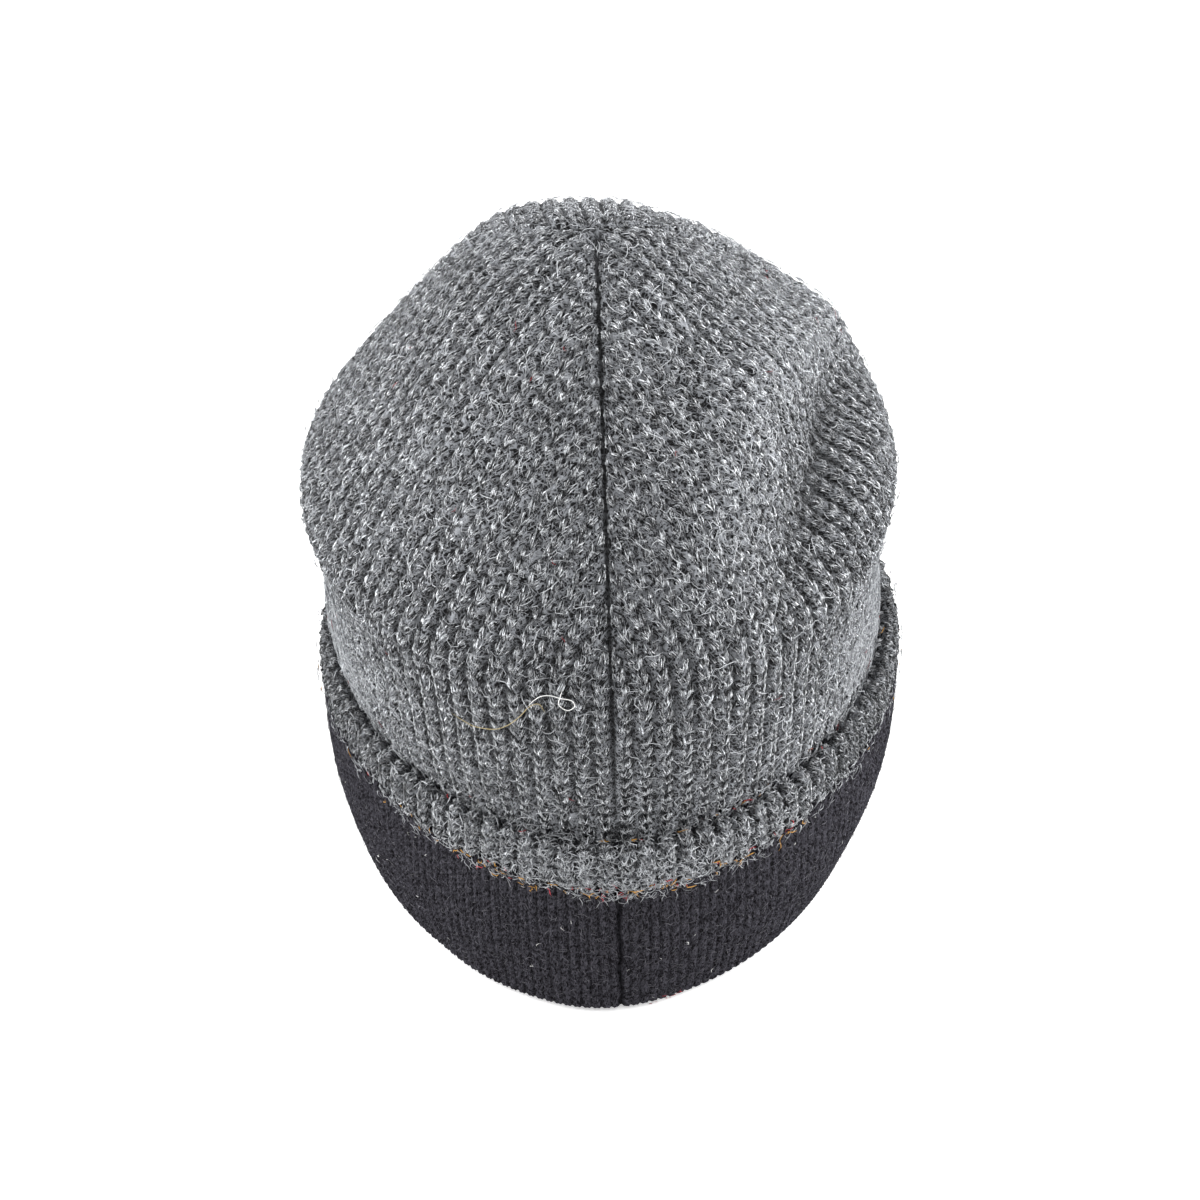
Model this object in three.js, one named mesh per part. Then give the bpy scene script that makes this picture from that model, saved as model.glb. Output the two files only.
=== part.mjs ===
// A cuffed rib-knit beanie, standing on its folded hem at z = 0. Millimetres, +Z up.
// The wearer faces -Y, so the centre-back seam is on +Y and the wearer's left is +X.
// A turn is an angle about Z in degrees, from the back seam towards the wearer's left.

import * as THREE from 'three';

// Knit
const RIBS = 93;
const DARTS = 3;
const RIBS_IN_PANEL = RIBS / DARTS;
const PANEL_TURN = 360 / DARTS;
const RIB_RELIEF = 0.6;
const BAND_RIB_RELIEF = 0.3;
const WELT_RIB_RELIEF = 0.8;
const SEAM_DEPTH = 2;
const TIP_PITCH_SHARE = 0.9;
const SEAM_SNAP = 0.35;

// Walls and clearances
const CROWN_WALL = 4;
const CUFF_WALL = 4.2;
const HEM_FLOOR = 4;
const CLEARANCE = 0.5;
const STACK_GAP = 0.3;

// Cuff
const BAND_TOP = 55;
const WELT_HEIGHT = 16.2;
const WELT_THICKNESS = 7.4;
const WELT_BULGE = 1.4;
const HEM_ROUNDING = 2.6;

// The faces that nobody sees are laid out with fewer columns
const LINING_COLUMNS = 48;
const INNER_BAND_COLUMNS = 93;

const GREY_WOOL = { color: 0x7d7e81, roughness: 0.96 };
const WELT_WOOL = { color: 0x78797c, roughness: 0.96 };
const BLACK_WOOL = { color: 0x2c2c31, roughness: 0.94 };

// Half widths of the cuff's outer face. backPower is 2 for an ellipse and less for a back that comes
// to a softer point at its seam.
const CUFF_SECTIONS = [
  { z: 0, left: 80, right: 74.5, back: 90, front: 90, backPower: 1.85 },
  { z: 26, left: 85.2, right: 83.5, back: 93.5, front: 93.5, backPower: 1.86 },
  { z: 55, left: 86.4, right: 86.2, back: 95, front: 96, backPower: 1.78 },
  { z: 69, left: 86.4, right: 86.2, back: 95.6, front: 96.4, backPower: 1.76 },
];

// Half widths of the crown's outer face from behind the welt up to the tip. forward is how far the
// section's centre has moved towards the brow.
const CROWN_SECTIONS = [
  { z: 54, left: 78.6, right: 78.4, back: 86.8, front: 87.8, forward: 0, backPower: 1.75 },
  { z: 70, left: 79, right: 78.6, back: 87.8, front: 88.8, forward: 0, backPower: 1.78 },
  { z: 82, left: 82.4, right: 80, back: 90.6, front: 91, forward: 0, backPower: 1.88 },
  { z: 107, left: 82.6, right: 79, back: 93.2, front: 93, forward: 0, backPower: 1.97 },
  { z: 120, left: 84, right: 80.4, back: 93, front: 92.6, forward: 0.2, backPower: 2 },
  { z: 132, left: 88, right: 84.4, back: 91, front: 90.4, forward: 0.6, backPower: 2 },
  { z: 145, left: 80.2, right: 81, back: 86.6, front: 84.8, forward: 1.6, backPower: 2 },
  { z: 158, left: 71, right: 73.2, back: 80, front: 77, forward: 2.2, backPower: 2 },
  { z: 171, left: 61.5, right: 61.5, back: 71.5, front: 65.9, forward: 2.9, backPower: 2 },
  { z: 182, left: 52, right: 51, back: 61.8, front: 51.6, forward: 5, backPower: 2 },
  { z: 193, left: 41.5, right: 39.5, back: 48.9, front: 37.5, forward: 6.5, backPower: 2 },
  { z: 202, left: 31, right: 28.5, back: 36.8, front: 25, forward: 8, backPower: 2 },
  { z: 208.4, left: 20, right: 18.5, back: 23.4, front: 15, forward: 9, backPower: 2 },
  { z: 212, left: 9, right: 8.6, back: 8.4, front: 8, forward: 9.4, backPower: 2 },
  { z: 213.4, left: 0, right: 0, back: 0, front: 0, forward: 9.6, backPower: 2 },
];

// Soft folds: a line on a piece's face that stands out from it, or sinks where rise is negative.
const CROWN_FOLDS = [
  {
    name: 'shoulder ridge',
    width: 12,
    line: [
      { turn: -118, z: 156, rise: 2 },
      { turn: -96, z: 170, rise: 3 },
      { turn: -72, z: 183, rise: 4.5 },
      { turn: -52, z: 183, rise: 5 },
      { turn: -38, z: 177, rise: 4 },
      { turn: -26, z: 166, rise: 2.5 },
      { turn: -21, z: 150, rise: 1.5 },
      { turn: -20, z: 134, rise: 0 },
    ],
  },
  {
    name: 'dent under the ridge',
    width: 12,
    line: [
      { turn: -104, z: 156, rise: -2 },
      { turn: -93, z: 161, rise: -7 },
      { turn: -82, z: 162, rise: -9.5 },
      { turn: -71, z: 161, rise: -10 },
      { turn: -62, z: 158, rise: -10 },
      { turn: -53, z: 154, rise: -8.5 },
      { turn: -44, z: 149, rise: -6 },
      { turn: -38, z: 137, rise: -2 },
      { turn: -34, z: 124, rise: 0 },
    ],
  },
  {
    name: 'fuller top on the left of the brow',
    width: 22,
    line: [
      { turn: 112, z: 194, rise: 2 },
      { turn: 148, z: 190, rise: 5 },
      { turn: 176, z: 190, rise: 3 },
      { turn: 202, z: 187, rise: 1 },
    ],
  },
];

const CUFF_FOLDS = [
  {
    name: 'hem pushed back on the left of the seam',
    width: 24,
    line: [
      { turn: 12, z: 0, rise: 3 },
      { turn: 26, z: 0, rise: 2.6 },
      { turn: 42, z: 0, rise: 1 },
    ],
  },
];

function mix(from, to, share) {
  return from + (to - from) * share;
}

// The point of a section at a turn: four quarter ovals that meet on the axes.
function sectionPoint(section, turn) {
  const angle = THREE.MathUtils.degToRad(turn);
  const side = Math.sin(angle);
  const along = Math.cos(angle);
  const power = along > 0 ? section.backPower : 2;
  const reach = (Math.abs(side) ** power + Math.abs(along) ** power) ** (-1 / power);
  const halfWidth = side > 0 ? section.left : section.right;
  const halfDepth = along > 0 ? section.back : section.front;
  return new THREE.Vector3(
    halfWidth * side * reach,
    halfDepth * along * reach - (section.forward ?? 0),
    section.z,
  );
}

// The section at a height between two rows of a table.
function sectionAtHeight(rows, z) {
  let upper = 1;
  while (upper < rows.length - 1 && rows[upper].z < z) upper += 1;
  const low = rows[upper - 1];
  const high = rows[upper];
  const share = THREE.MathUtils.clamp((z - low.z) / (high.z - low.z), 0, 1);
  const section = {};
  for (const column of Object.keys(low)) section[column] = mix(low[column], high[column], share);
  return section;
}

// Unit vector out of a wall whose rows are given, at one of its rows.
function wallNormal(rows, row, turn) {
  const step = 1;
  const around = sectionPoint(rows[row], turn + step).sub(sectionPoint(rows[row], turn - step));
  if (around.lengthSq() < 1e-9) return new THREE.Vector3(0, 0, 1);
  const below = sectionPoint(rows[Math.max(row - 1, 0)], turn);
  const above = sectionPoint(rows[Math.min(row + 1, rows.length - 1)], turn);
  return above.sub(below).cross(around).normalize();
}

// Level unit vector out of a section.
function levelNormal(section, turn) {
  const step = 1;
  const around = sectionPoint(section, turn + step).sub(sectionPoint(section, turn - step));
  return new THREE.Vector3(0, 0, 1).cross(around).normalize();
}

function foldLines(folds, rows) {
  return folds.map((fold) => ({
    width: fold.width,
    knots: fold.line.map((knot) => ({
      point: sectionPoint(sectionAtHeight(rows, knot.z), knot.turn),
      rise: knot.rise,
    })),
  }));
}

const crownFoldLines = foldLines(CROWN_FOLDS, CROWN_SECTIONS);
const cuffFoldLines = foldLines(CUFF_FOLDS, CUFF_SECTIONS);

// How far folds lift a point: each fold is a bell across the nearest stretch of its line.
function foldRise(lines, point) {
  let total = 0;
  for (const { width, knots } of lines) {
    let strongest = 0;
    for (let i = 1; i < knots.length; i += 1) {
      const line = new THREE.Line3(knots[i - 1].point, knots[i].point);
      const share = line.closestPointToPointParameter(point, true);
      const nearest = line.at(share, new THREE.Vector3());
      const bell = Math.exp(-((nearest.distanceTo(point) / width) ** 2));
      const lift = mix(knots[i - 1].rise, knots[i].rise, share) * bell;
      if (Math.abs(lift) > Math.abs(strongest)) strongest = lift;
    }
    total += strongest;
  }
  return total;
}

// Length of a section's edge from a panel's first seam, sampled by turn.
function panelLengths(section, panel) {
  const samples = 96;
  const turns = [];
  const lengths = [];
  let length = 0;
  let last = null;
  for (let i = 0; i <= samples; i += 1) {
    const turn = (panel + i / samples) * PANEL_TURN;
    const point = sectionPoint(section, turn);
    if (last) length += point.distanceTo(last);
    turns.push(turn);
    lengths.push(length);
    last = point;
  }
  return { turns, lengths, total: length };
}

function turnAtLength({ turns, lengths }, length) {
  let upper = 1;
  while (upper < lengths.length - 1 && lengths[upper] < length) upper += 1;
  const span = lengths[upper] - lengths[upper - 1];
  const share = span > 0 ? (length - lengths[upper - 1]) / span : 0;
  return mix(turns[upper - 1], turns[upper], THREE.MathUtils.clamp(share, 0, 1));
}

// Columns of a ring, two to a rib, so that crests and valleys alternate. Ribs keep their pitch and run into
// the dart seams, so where a panel has grown narrower its outer columns all lie on the seam.
function ribColumns(section, pitch) {
  const half = RIBS_IN_PANEL;
  const columns = [];
  for (let panel = 0; panel < DARTS; panel += 1) {
    const edge = panelLengths(section, panel);
    const room = edge.total / 2;
    const spacing = Math.max(pitch / 2, room / half);
    for (let i = -half; i < half; i += 1) {
      const offset = i * spacing;
      const onSeam = room - Math.abs(offset) < SEAM_SNAP * spacing;
      let turn = turnAtLength(edge, room + offset);
      if (onSeam) turn = (panel + (i < 0 ? 0 : 1)) * PANEL_TURN;
      const atBack = onSeam && turn % 360 === 0;
      columns.push({ turn, crest: Math.abs(i) % 2 === 0, onSeam, atBack });
    }
  }
  return columns;
}

// Turns that part every panel's edge into equal lengths.
function evenTurns(section, count) {
  const perPanel = count / DARTS;
  const turns = [];
  for (let panel = 0; panel < DARTS; panel += 1) {
    const edge = panelLengths(section, panel);
    for (let i = 0; i < perPanel; i += 1) turns.push(turnAtLength(edge, (edge.total * i) / perPanel));
  }
  return turns;
}

// Triangles between two rings of points, walked side by side, so the rings may differ in count.
function bridge(triangles, ringA, ringB) {
  const pointA = (i) => ringA[i % ringA.length];
  const pointB = (i) => ringB[i % ringB.length];
  let a = 0;
  let b = 0;
  while (a < ringA.length || b < ringB.length) {
    const aheadA = (a + 1) / ringA.length;
    const aheadB = (b + 1) / ringB.length;
    if (b >= ringB.length || (a < ringA.length && aheadA <= aheadB)) {
      triangles.push([pointA(a), pointB(b), pointA(a + 1)]);
      a += 1;
    } else {
      triangles.push([pointA(a), pointB(b), pointB(b + 1)]);
      b += 1;
    }
  }
}

// A closed geometry from rings of points, the last ring joined to the first. Points that coincide are shared, and faces they empty are left out.
function ringsToGeometry(rings) {
  const triangles = [];
  rings.forEach((ring, i) => bridge(triangles, ring, rings[(i + 1) % rings.length]));
  const positions = [];
  const numbers = new Map();
  const numberOf = (point) => {
    const key = point.toArray().map((value) => Math.round(value * 1e4)).join();
    if (!numbers.has(key)) {
      numbers.set(key, numbers.size);
      positions.push(point.x, point.y, point.z);
    }
    return numbers.get(key);
  };
  const indices = [];
  for (const corners of triangles) {
    const [a, b, c] = corners.map(numberOf);
    if (a !== b && b !== c && c !== a) indices.push(a, b, c);
  }
  const geometry = new THREE.BufferGeometry();
  geometry.setAttribute('position', new THREE.Float32BufferAttribute(positions, 3));
  geometry.setIndex(indices);
  geometry.computeVertexNormals();
  return geometry;
}

function woolMesh(name, geometry, wool) {
  const material = new THREE.MeshStandardMaterial({ ...wool, metalness: 0, flatShading: true });
  const mesh = new THREE.Mesh(geometry, material);
  mesh.name = name;
  return mesh;
}

// The cuff's face at a height, moved inwards by a depth along the level normal.
function cuffPoint(z, depth, turn) {
  const section = sectionAtHeight(CUFF_SECTIONS, z);
  const point = sectionPoint(section, turn);
  const rise = foldRise(cuffFoldLines, point);
  return point.addScaledVector(levelNormal(section, turn), rise - depth);
}

// Rise of a column over the plain face. The back seam runs the whole height, and the other two darts are
// only a valley like any other until the crown narrows.
function seamOrRib(column, relief, dartDepth = relief) {
  if (column.atBack) return -SEAM_DEPTH;
  if (column.onSeam) return -dartDepth;
  return column.crest ? relief : -relief;
}

// The part of the crown that stands inside the cuff hangs plain between the hem's floor and the welt.
const HIDDEN_LEVELS = [HEM_FLOOR + STACK_GAP, CUFF_SECTIONS[1].z, 43];

function widestPitch() {
  const lengths = CROWN_SECTIONS.map((section) => panelLengths(section, 0).total);
  return Math.max(...lengths) / RIBS_IN_PANEL;
}

function buildCrown() {
  const pitch = widestPitch();
  const tip = CROWN_SECTIONS.length - 1;
  const widest = CROWN_SECTIONS.findIndex((section) => panelLengths(section, 0).total / RIBS_IN_PANEL === pitch);
  const hiddenDepth = CUFF_WALL + CLEARANCE;
  const seamed = ribColumns(CROWN_SECTIONS[0], 0);

  const outside = HIDDEN_LEVELS.map((z) => seamed.map(({ turn }) => cuffPoint(z, hiddenDepth, turn)));
  CROWN_SECTIONS.forEach((section, row) => {
    const narrowed = row > widest;
    const share = THREE.MathUtils.clamp((row - widest) / (tip - widest), 0, 1);
    const columns = ribColumns(section, narrowed ? pitch * mix(1, TIP_PITCH_SHARE, share) : 0);
    const dartDepth = narrowed ? SEAM_DEPTH : RIB_RELIEF;
    outside.push(columns.map((column) => {
      const point = sectionPoint(section, column.turn);
      const fade = row === tip ? 0 : 1;
      const relief = seamOrRib(column, RIB_RELIEF, dartDepth) * fade;
      const rise = foldRise(crownFoldLines, point) + relief;
      return point.addScaledVector(wallNormal(CROWN_SECTIONS, row, column.turn), rise);
    }));
  });

  const inside = [];
  for (let row = tip; row > 0; row -= 1) {
    const section = CROWN_SECTIONS[row];
    inside.push(evenTurns(section, LINING_COLUMNS).map((turn) => {
      const point = sectionPoint(section, turn);
      const normal = wallNormal(CROWN_SECTIONS, row, turn);
      return point.addScaledVector(normal, foldRise(crownFoldLines, point) - CROWN_WALL);
    }));
  }
  for (const z of [...HIDDEN_LEVELS].reverse()) {
    const section = sectionAtHeight(CUFF_SECTIONS, z);
    const turns = evenTurns(section, LINING_COLUMNS);
    inside.push(turns.map((turn) => cuffPoint(z, hiddenDepth + CROWN_WALL, turn)));
  }
  return woolMesh('crown', ringsToGeometry([...outside, ...inside]), GREY_WOOL);
}

function buildCuffBand() {
  const columns = ribColumns(sectionAtHeight(CUFF_SECTIONS, BAND_TOP), 0);
  const inner = evenTurns(sectionAtHeight(CUFF_SECTIONS, BAND_TOP), INNER_BAND_COLUMNS);
  const hemWidth = CUFF_WALL + CLEARANCE + CROWN_WALL;
  const ribbed = (z, depth, share) => columns.map((column) =>
    cuffPoint(z, depth - seamOrRib(column, BAND_RIB_RELIEF) * share, column.turn));
  const plain = (z, depth) => inner.map((turn) => cuffPoint(z, depth, turn));
  const rings = [
    plain(0, hemWidth - HEM_ROUNDING / 2),
    plain(0, HEM_ROUNDING * 1.6),
    ribbed(HEM_ROUNDING * 0.25, HEM_ROUNDING * 0.3, 0.5),
    ribbed(HEM_ROUNDING, 0, 1),
    ribbed(CUFF_SECTIONS[1].z, 0, 1),
    ribbed(BAND_TOP, 0, 1),
    plain(BAND_TOP, CUFF_WALL),
    plain(CUFF_SECTIONS[1].z, CUFF_WALL),
    plain(HEM_FLOOR, CUFF_WALL),
    plain(HEM_FLOOR, hemWidth),
    plain(HEM_ROUNDING / 2, hemWidth),
  ];
  return woolMesh('cuff_band', ringsToGeometry(rings), BLACK_WOOL);
}

// The welt's outline in section: depth in from the cuff's face, and height above the band's top.
const WELT_OUTLINE = [
  { depth: 0.2, rise: 0, ribs: 0.6 },
  { depth: -1, rise: 2.8, ribs: 1 },
  { depth: -WELT_BULGE, rise: 8, ribs: 1 },
  { depth: 0, rise: 12, ribs: 1 },
  { depth: 3, rise: WELT_HEIGHT, ribs: 0.5 },
  { depth: WELT_THICKNESS - WELT_BULGE, rise: 13, ribs: 0 },
  { depth: WELT_THICKNESS - WELT_BULGE, rise: 0, ribs: 0 },
];

function buildCuffWelt() {
  const section = sectionAtHeight(CUFF_SECTIONS, BAND_TOP + WELT_HEIGHT / 2);
  const columns = ribColumns(section, 0);
  const rings = WELT_OUTLINE.map(({ depth, rise, ribs }) => {
    const z = BAND_TOP + STACK_GAP + rise;
    const turns = ribs > 0 ? columns : columns.filter((column, index) => index % 2 === 0);
    return turns.map((column) =>
      cuffPoint(z, depth - seamOrRib(column, WELT_RIB_RELIEF) * ribs, column.turn));
  });
  return woolMesh('cuff_welt', ringsToGeometry(rings), WELT_WOOL);
}

// Moves the pieces so that the middle of the whole box stands over the origin.
function centreOverOrigin(group) {
  const middle = new THREE.Box3().setFromObject(group, true).getCenter(new THREE.Vector3());
  for (const mesh of group.children) mesh.geometry.translate(-middle.x, -middle.y, 0);
}

const beanie = new THREE.Group();
beanie.add(buildCrown(), buildCuffBand(), buildCuffWelt());
centreOverOrigin(beanie);

export default beanie;
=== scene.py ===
"""Looks of a cuffed rib-knit wool beanie: stitches, seams, folded cuff, loose wool and a plain studio.

Sizes are in millimetres until a mesh is made. +Z is up, the hem stands on z = 0, the back seam is on +Y and
the wearer's left is +X. A turn is an angle about Z from the back seam towards the wearer's left.
"""

import logging
import math
from dataclasses import dataclass
from enum import Enum

import bpy
import numpy as np
from mathutils import Matrix, Vector
from numpy.typing import NDArray


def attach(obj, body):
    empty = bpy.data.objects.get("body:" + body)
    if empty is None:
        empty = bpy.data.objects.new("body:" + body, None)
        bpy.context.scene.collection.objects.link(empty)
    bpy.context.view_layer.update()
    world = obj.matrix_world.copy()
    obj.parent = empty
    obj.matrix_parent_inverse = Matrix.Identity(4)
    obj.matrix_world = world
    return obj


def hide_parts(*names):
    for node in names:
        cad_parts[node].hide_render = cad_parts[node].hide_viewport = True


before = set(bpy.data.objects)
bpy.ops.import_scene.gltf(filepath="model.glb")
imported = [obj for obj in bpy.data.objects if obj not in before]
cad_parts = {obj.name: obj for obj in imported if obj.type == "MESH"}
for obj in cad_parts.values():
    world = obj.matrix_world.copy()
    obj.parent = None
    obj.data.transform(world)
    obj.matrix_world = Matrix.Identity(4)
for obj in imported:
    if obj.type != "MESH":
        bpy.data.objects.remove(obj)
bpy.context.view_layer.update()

Values = NDArray[np.float64]
Counts = NDArray[np.int64]
LOG = logging.getLogger("beanie")

MM = 0.001
PANELS = 3
PANEL_SAMPLES = 120
TURNS = np.arange(PANELS * PANEL_SAMPLES) * 2 * np.pi / (PANELS * PANEL_SAMPLES)
UP = np.array([0.0, 0.0, 1.0])


@dataclass(frozen=True)
class Section:
    """Half widths of a level section. back_power under 2 brings the back to a softer point at its seam."""

    z: float
    left: float
    right: float
    back: float
    front: float
    forward: float = 0.0
    back_power: float = 2.0

    def row(self) -> list[float]:
        """The section as a row of numbers."""
        return [self.z, self.left, self.right, self.back, self.front, self.forward, self.back_power]


@dataclass(frozen=True)
class Knot:
    """A place on a fold's line and how far the face stands out there."""

    turn: float
    z: float
    rise: float


@dataclass(frozen=True)
class Fold:
    """A soft fold: a line on a face that stands out, or sinks where its rise is negative."""

    width: float
    line: tuple[Knot, ...]


CROWN_SECTIONS = (
    Section(z=54, left=78.6, right=78.4, back=87, front=88, back_power=1.78),
    Section(z=70, left=80.4, right=79.8, back=89.2, front=90.6, back_power=1.82),
    Section(z=82, left=82.4, right=80, back=90.6, front=91, back_power=1.88),
    Section(z=107, left=82.6, right=79, back=93.2, front=93, back_power=1.97),
    Section(z=120, left=84, right=80.4, back=93, front=92.6, forward=0.2),
    Section(z=132, left=88, right=84.4, back=91, front=90.4, forward=0.6),
    Section(z=145, left=80.2, right=81, back=86.6, front=84.8, forward=1.6),
    Section(z=158, left=71, right=73.2, back=80, front=77, forward=2.2),
    Section(z=171, left=61.5, right=61.5, back=71.5, front=65.9, forward=2.9),
    Section(z=182, left=52, right=51, back=61.8, front=51.6, forward=5),
    Section(z=193, left=41.5, right=39.5, back=48.9, front=37.5, forward=6.5),
    Section(z=202, left=31, right=28.5, back=36.8, front=25, forward=8),
    Section(z=208.4, left=20, right=18.5, back=23.4, front=15, forward=9),
    Section(z=212, left=9, right=8.6, back=8.4, front=8, forward=9.4),
    Section(z=213.4, left=0, right=0, back=0, front=0, forward=9.6),
)

SHOULDER_RIDGE = Fold(
    width=12,
    line=(
        Knot(turn=-118, z=156, rise=2.5),
        Knot(turn=-96, z=170, rise=3.8),
        Knot(turn=-72, z=183, rise=4.5),
        Knot(turn=-52, z=183, rise=5),
        Knot(turn=-38, z=177, rise=4),
        Knot(turn=-26, z=166, rise=2.5),
        Knot(turn=-21, z=150, rise=1.5),
        Knot(turn=-20, z=134, rise=0),
    ),
)
DENT_UNDER_RIDGE = Fold(
    width=12,
    line=(
        Knot(turn=-104, z=156, rise=-2),
        Knot(turn=-93, z=161, rise=-7),
        Knot(turn=-82, z=162, rise=-9.5),
        Knot(turn=-71, z=161, rise=-10),
        Knot(turn=-62, z=158, rise=-10),
        Knot(turn=-53, z=154, rise=-8.5),
        Knot(turn=-44, z=149, rise=-6),
        Knot(turn=-38, z=137, rise=-2),
        Knot(turn=-34, z=124, rise=0),
    ),
)
FULL_TOP = Fold(
    width=22,
    line=(
        Knot(turn=112, z=194, rise=2),
        Knot(turn=148, z=190, rise=5),
        Knot(turn=176, z=190, rise=3),
        Knot(turn=202, z=187, rise=1),
    ),
)

CUFF_SECTIONS = (
    Section(z=0, left=80, right=74.5, back=90, front=90, back_power=1.85),
    Section(z=26, left=85.2, right=83.5, back=93.5, front=93.5, back_power=1.86),
    Section(z=55, left=86.4, right=86.2, back=95, front=96, back_power=1.78),
    Section(z=69, left=86.4, right=86.2, back=95.6, front=96.4, back_power=1.76),
)
PUSHED_HEM = Fold(
    width=24,
    line=(
        Knot(turn=12, z=0, rise=3),
        Knot(turn=26, z=0, rise=2.6),
        Knot(turn=42, z=0, rise=1),
    ),
)


def smooth_rows(knots: Values, rows: Values, at: Values) -> Values:
    """Rows of a table on a smooth curve through its knots.

    On each span of length h, with u from 0 to 1, a row is (2u³-3u²+1)·row0 + (u³-2u²+u)·h·slope0 +
    (3u²-2u³)·row1 + (u³-u²)·h·slope1. The slopes are the gradient of the rows along the knots.

    Args:
        knots: where the rows stand, rising.
        rows: one row for each knot.
        at: where rows are wanted.

    Returns:
        One row for each place.
    """
    slopes = np.gradient(rows, knots, axis=0)
    low = np.clip(np.searchsorted(knots, at, side="right") - 1, 0, len(knots) - 2)
    span = (knots[low + 1] - knots[low])[:, None]
    u = np.clip((at - knots[low])[:, None] / span, 0.0, 1.0)
    ends = (2 * u**3 - 3 * u**2 + 1) * rows[low] + (3 * u**2 - 2 * u**3) * rows[low + 1]
    return ends + span * ((u**3 - 2 * u**2 + u) * slopes[low] + (u**3 - u**2) * slopes[low + 1])


def section_points(rows: Values, turns: Values) -> Values:
    """Points of level sections: x = width·sin·k, y = depth·cos·k - forward, k = (|sin|^p + |cos|^p)^(-1/p).

    Args:
        rows: section rows, (stations, 7).
        turns: angles, (columns,) for all rows alike or (stations,) where each row has its own.

    Returns:
        Points of shape (stations, columns, 3).
    """
    z, left, right, back, front, forward, power_behind = (rows[:, i : i + 1] for i in range(7))
    side = np.sin(turns)[None, :]
    along = np.cos(turns)[None, :]
    power = np.where(along > 0, power_behind, 2.0)
    reach = (np.abs(side) ** power + np.abs(along) ** power) ** (-1 / power)
    width = np.where(side > 0, left, right)
    depth = np.where(along > 0, back, front)
    return np.stack([width * side * reach, depth * along * reach - forward, z + 0 * side], axis=-1)


def unit(vectors: Values) -> Values:
    """The vectors divided by their lengths."""
    length = np.linalg.norm(vectors, axis=-1, keepdims=True)
    return vectors / np.maximum(length, 1e-9)


def table_of(sections: tuple[Section, ...]) -> Values:
    """The sections as a table of numbers."""
    return np.array([section.row() for section in sections], dtype=float)


def fold_rise(points: Values, folds: tuple[Fold, ...], sections: tuple[Section, ...]) -> Values:
    """How far folds lift points: rise·exp(-(d/width)²), d the distance to the stretch that lifts most.

    Args:
        points: points of a face, (..., 3).
        folds: the folds on it.
        sections: the face's own sections, which place the folds' knots.

    Returns:
        The rise at each point.
    """
    rows = table_of(sections)
    total = np.zeros(points.shape[:-1])
    for fold in folds:
        level = np.array([knot.z for knot in fold.line], dtype=float)
        turns = np.radians([knot.turn for knot in fold.line])
        knot_rows = np.stack([np.interp(level, rows[:, 0], rows[:, i]) for i in range(7)], axis=1)
        every = section_points(knot_rows, turns)
        line = every[np.arange(len(turns)), np.arange(len(turns))]
        strongest = np.zeros_like(total)
        for i in range(1, len(line)):
            reach = line[i] - line[i - 1]
            share = np.clip((points - line[i - 1]) @ reach / (reach @ reach), 0.0, 1.0)
            distance = np.linalg.norm(points - line[i - 1] - share[..., None] * reach, axis=-1)
            rise = fold.line[i - 1].rise * (1 - share) + fold.line[i].rise * share
            lift = rise * np.exp(-((distance / fold.width) ** 2))
            strongest = np.where(np.abs(lift) > np.abs(strongest), lift, strongest)
        total += strongest
    return total


class Face:
    """A smooth face of the hat, on a grid of stations along its profile and turns about Z.

    Stations run so that the face's outward side is station direction × turn direction. Shade is the natural
    logarithm of how much lighter the wool is painted at each point: painted light where it is positive and
    painted shade where it is negative.
    """

    def __init__(self, points: Values) -> None:
        """Works out the face's directions and edge lengths.

        Args:
            points: its points, (stations, turns, 3).
        """
        self.points = points
        ahead = np.roll(points, -1, axis=1) - np.roll(points, 1, axis=1)
        self.along = unit(np.gradient(points, axis=0))
        self.out = unit(np.cross(self.along, unit(ahead)))
        lone = np.linalg.norm(ahead, axis=-1) < 1e-6
        self.out[lone] = UP
        step = np.linalg.norm(np.roll(points, -1, axis=1) - points, axis=-1)
        self.shade = np.zeros(points.shape[:2])
        by_panel = step.reshape(len(points), PANELS, PANEL_SAMPLES)
        start = np.zeros((len(points), PANELS, 1))
        self.lengths = np.concatenate([start, np.cumsum(by_panel, axis=2)], axis=2)

    def raised(self, rise: Values) -> "Face":
        """The face moved outwards by a rise for each of its points."""
        return Face(self.points + self.out * rise[..., None])

    def columns_at(self, panel: int, lengths: Values) -> Values:
        """Grid columns, with fractions, at lengths across a panel.

        Args:
            panel: the panel's number.
            lengths: lengths from its first edge, (stations, n).

        Returns:
            The columns, (stations, n).
        """
        ticks = np.arange(PANEL_SAMPLES + 1, dtype=float)
        rows = [np.interp(lengths[j], self.lengths[j, panel], ticks) for j in range(len(lengths))]
        return np.stack(rows) + panel * PANEL_SAMPLES

    def take(self, grid: Values, columns: Values) -> Values:
        """Values of a grid at columns with fractions, by straight mixing between neighbours.

        Args:
            grid: values at the face's points, (stations, turns, parts).
            columns: the columns wanted at each station, (stations, n).

        Returns:
            The values, (stations, n, parts).
        """
        low = np.floor(columns).astype(int)
        share = (columns - low)[..., None]
        stations = np.arange(len(columns))[:, None]
        count = grid.shape[1]
        return grid[stations, low % count] * (1 - share) + grid[stations, (low + 1) % count] * share


@dataclass(frozen=True)
class Ribs:
    """Lines of stitches on a face, one row of every array for each rib and one column for each station."""

    centre: Values
    side: Values
    out: Values
    travel: Values
    pitch: Values
    room_low: Values
    room_high: Values
    seam_low: Values
    seam_high: Values
    relief: Values
    shade: Values


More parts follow.
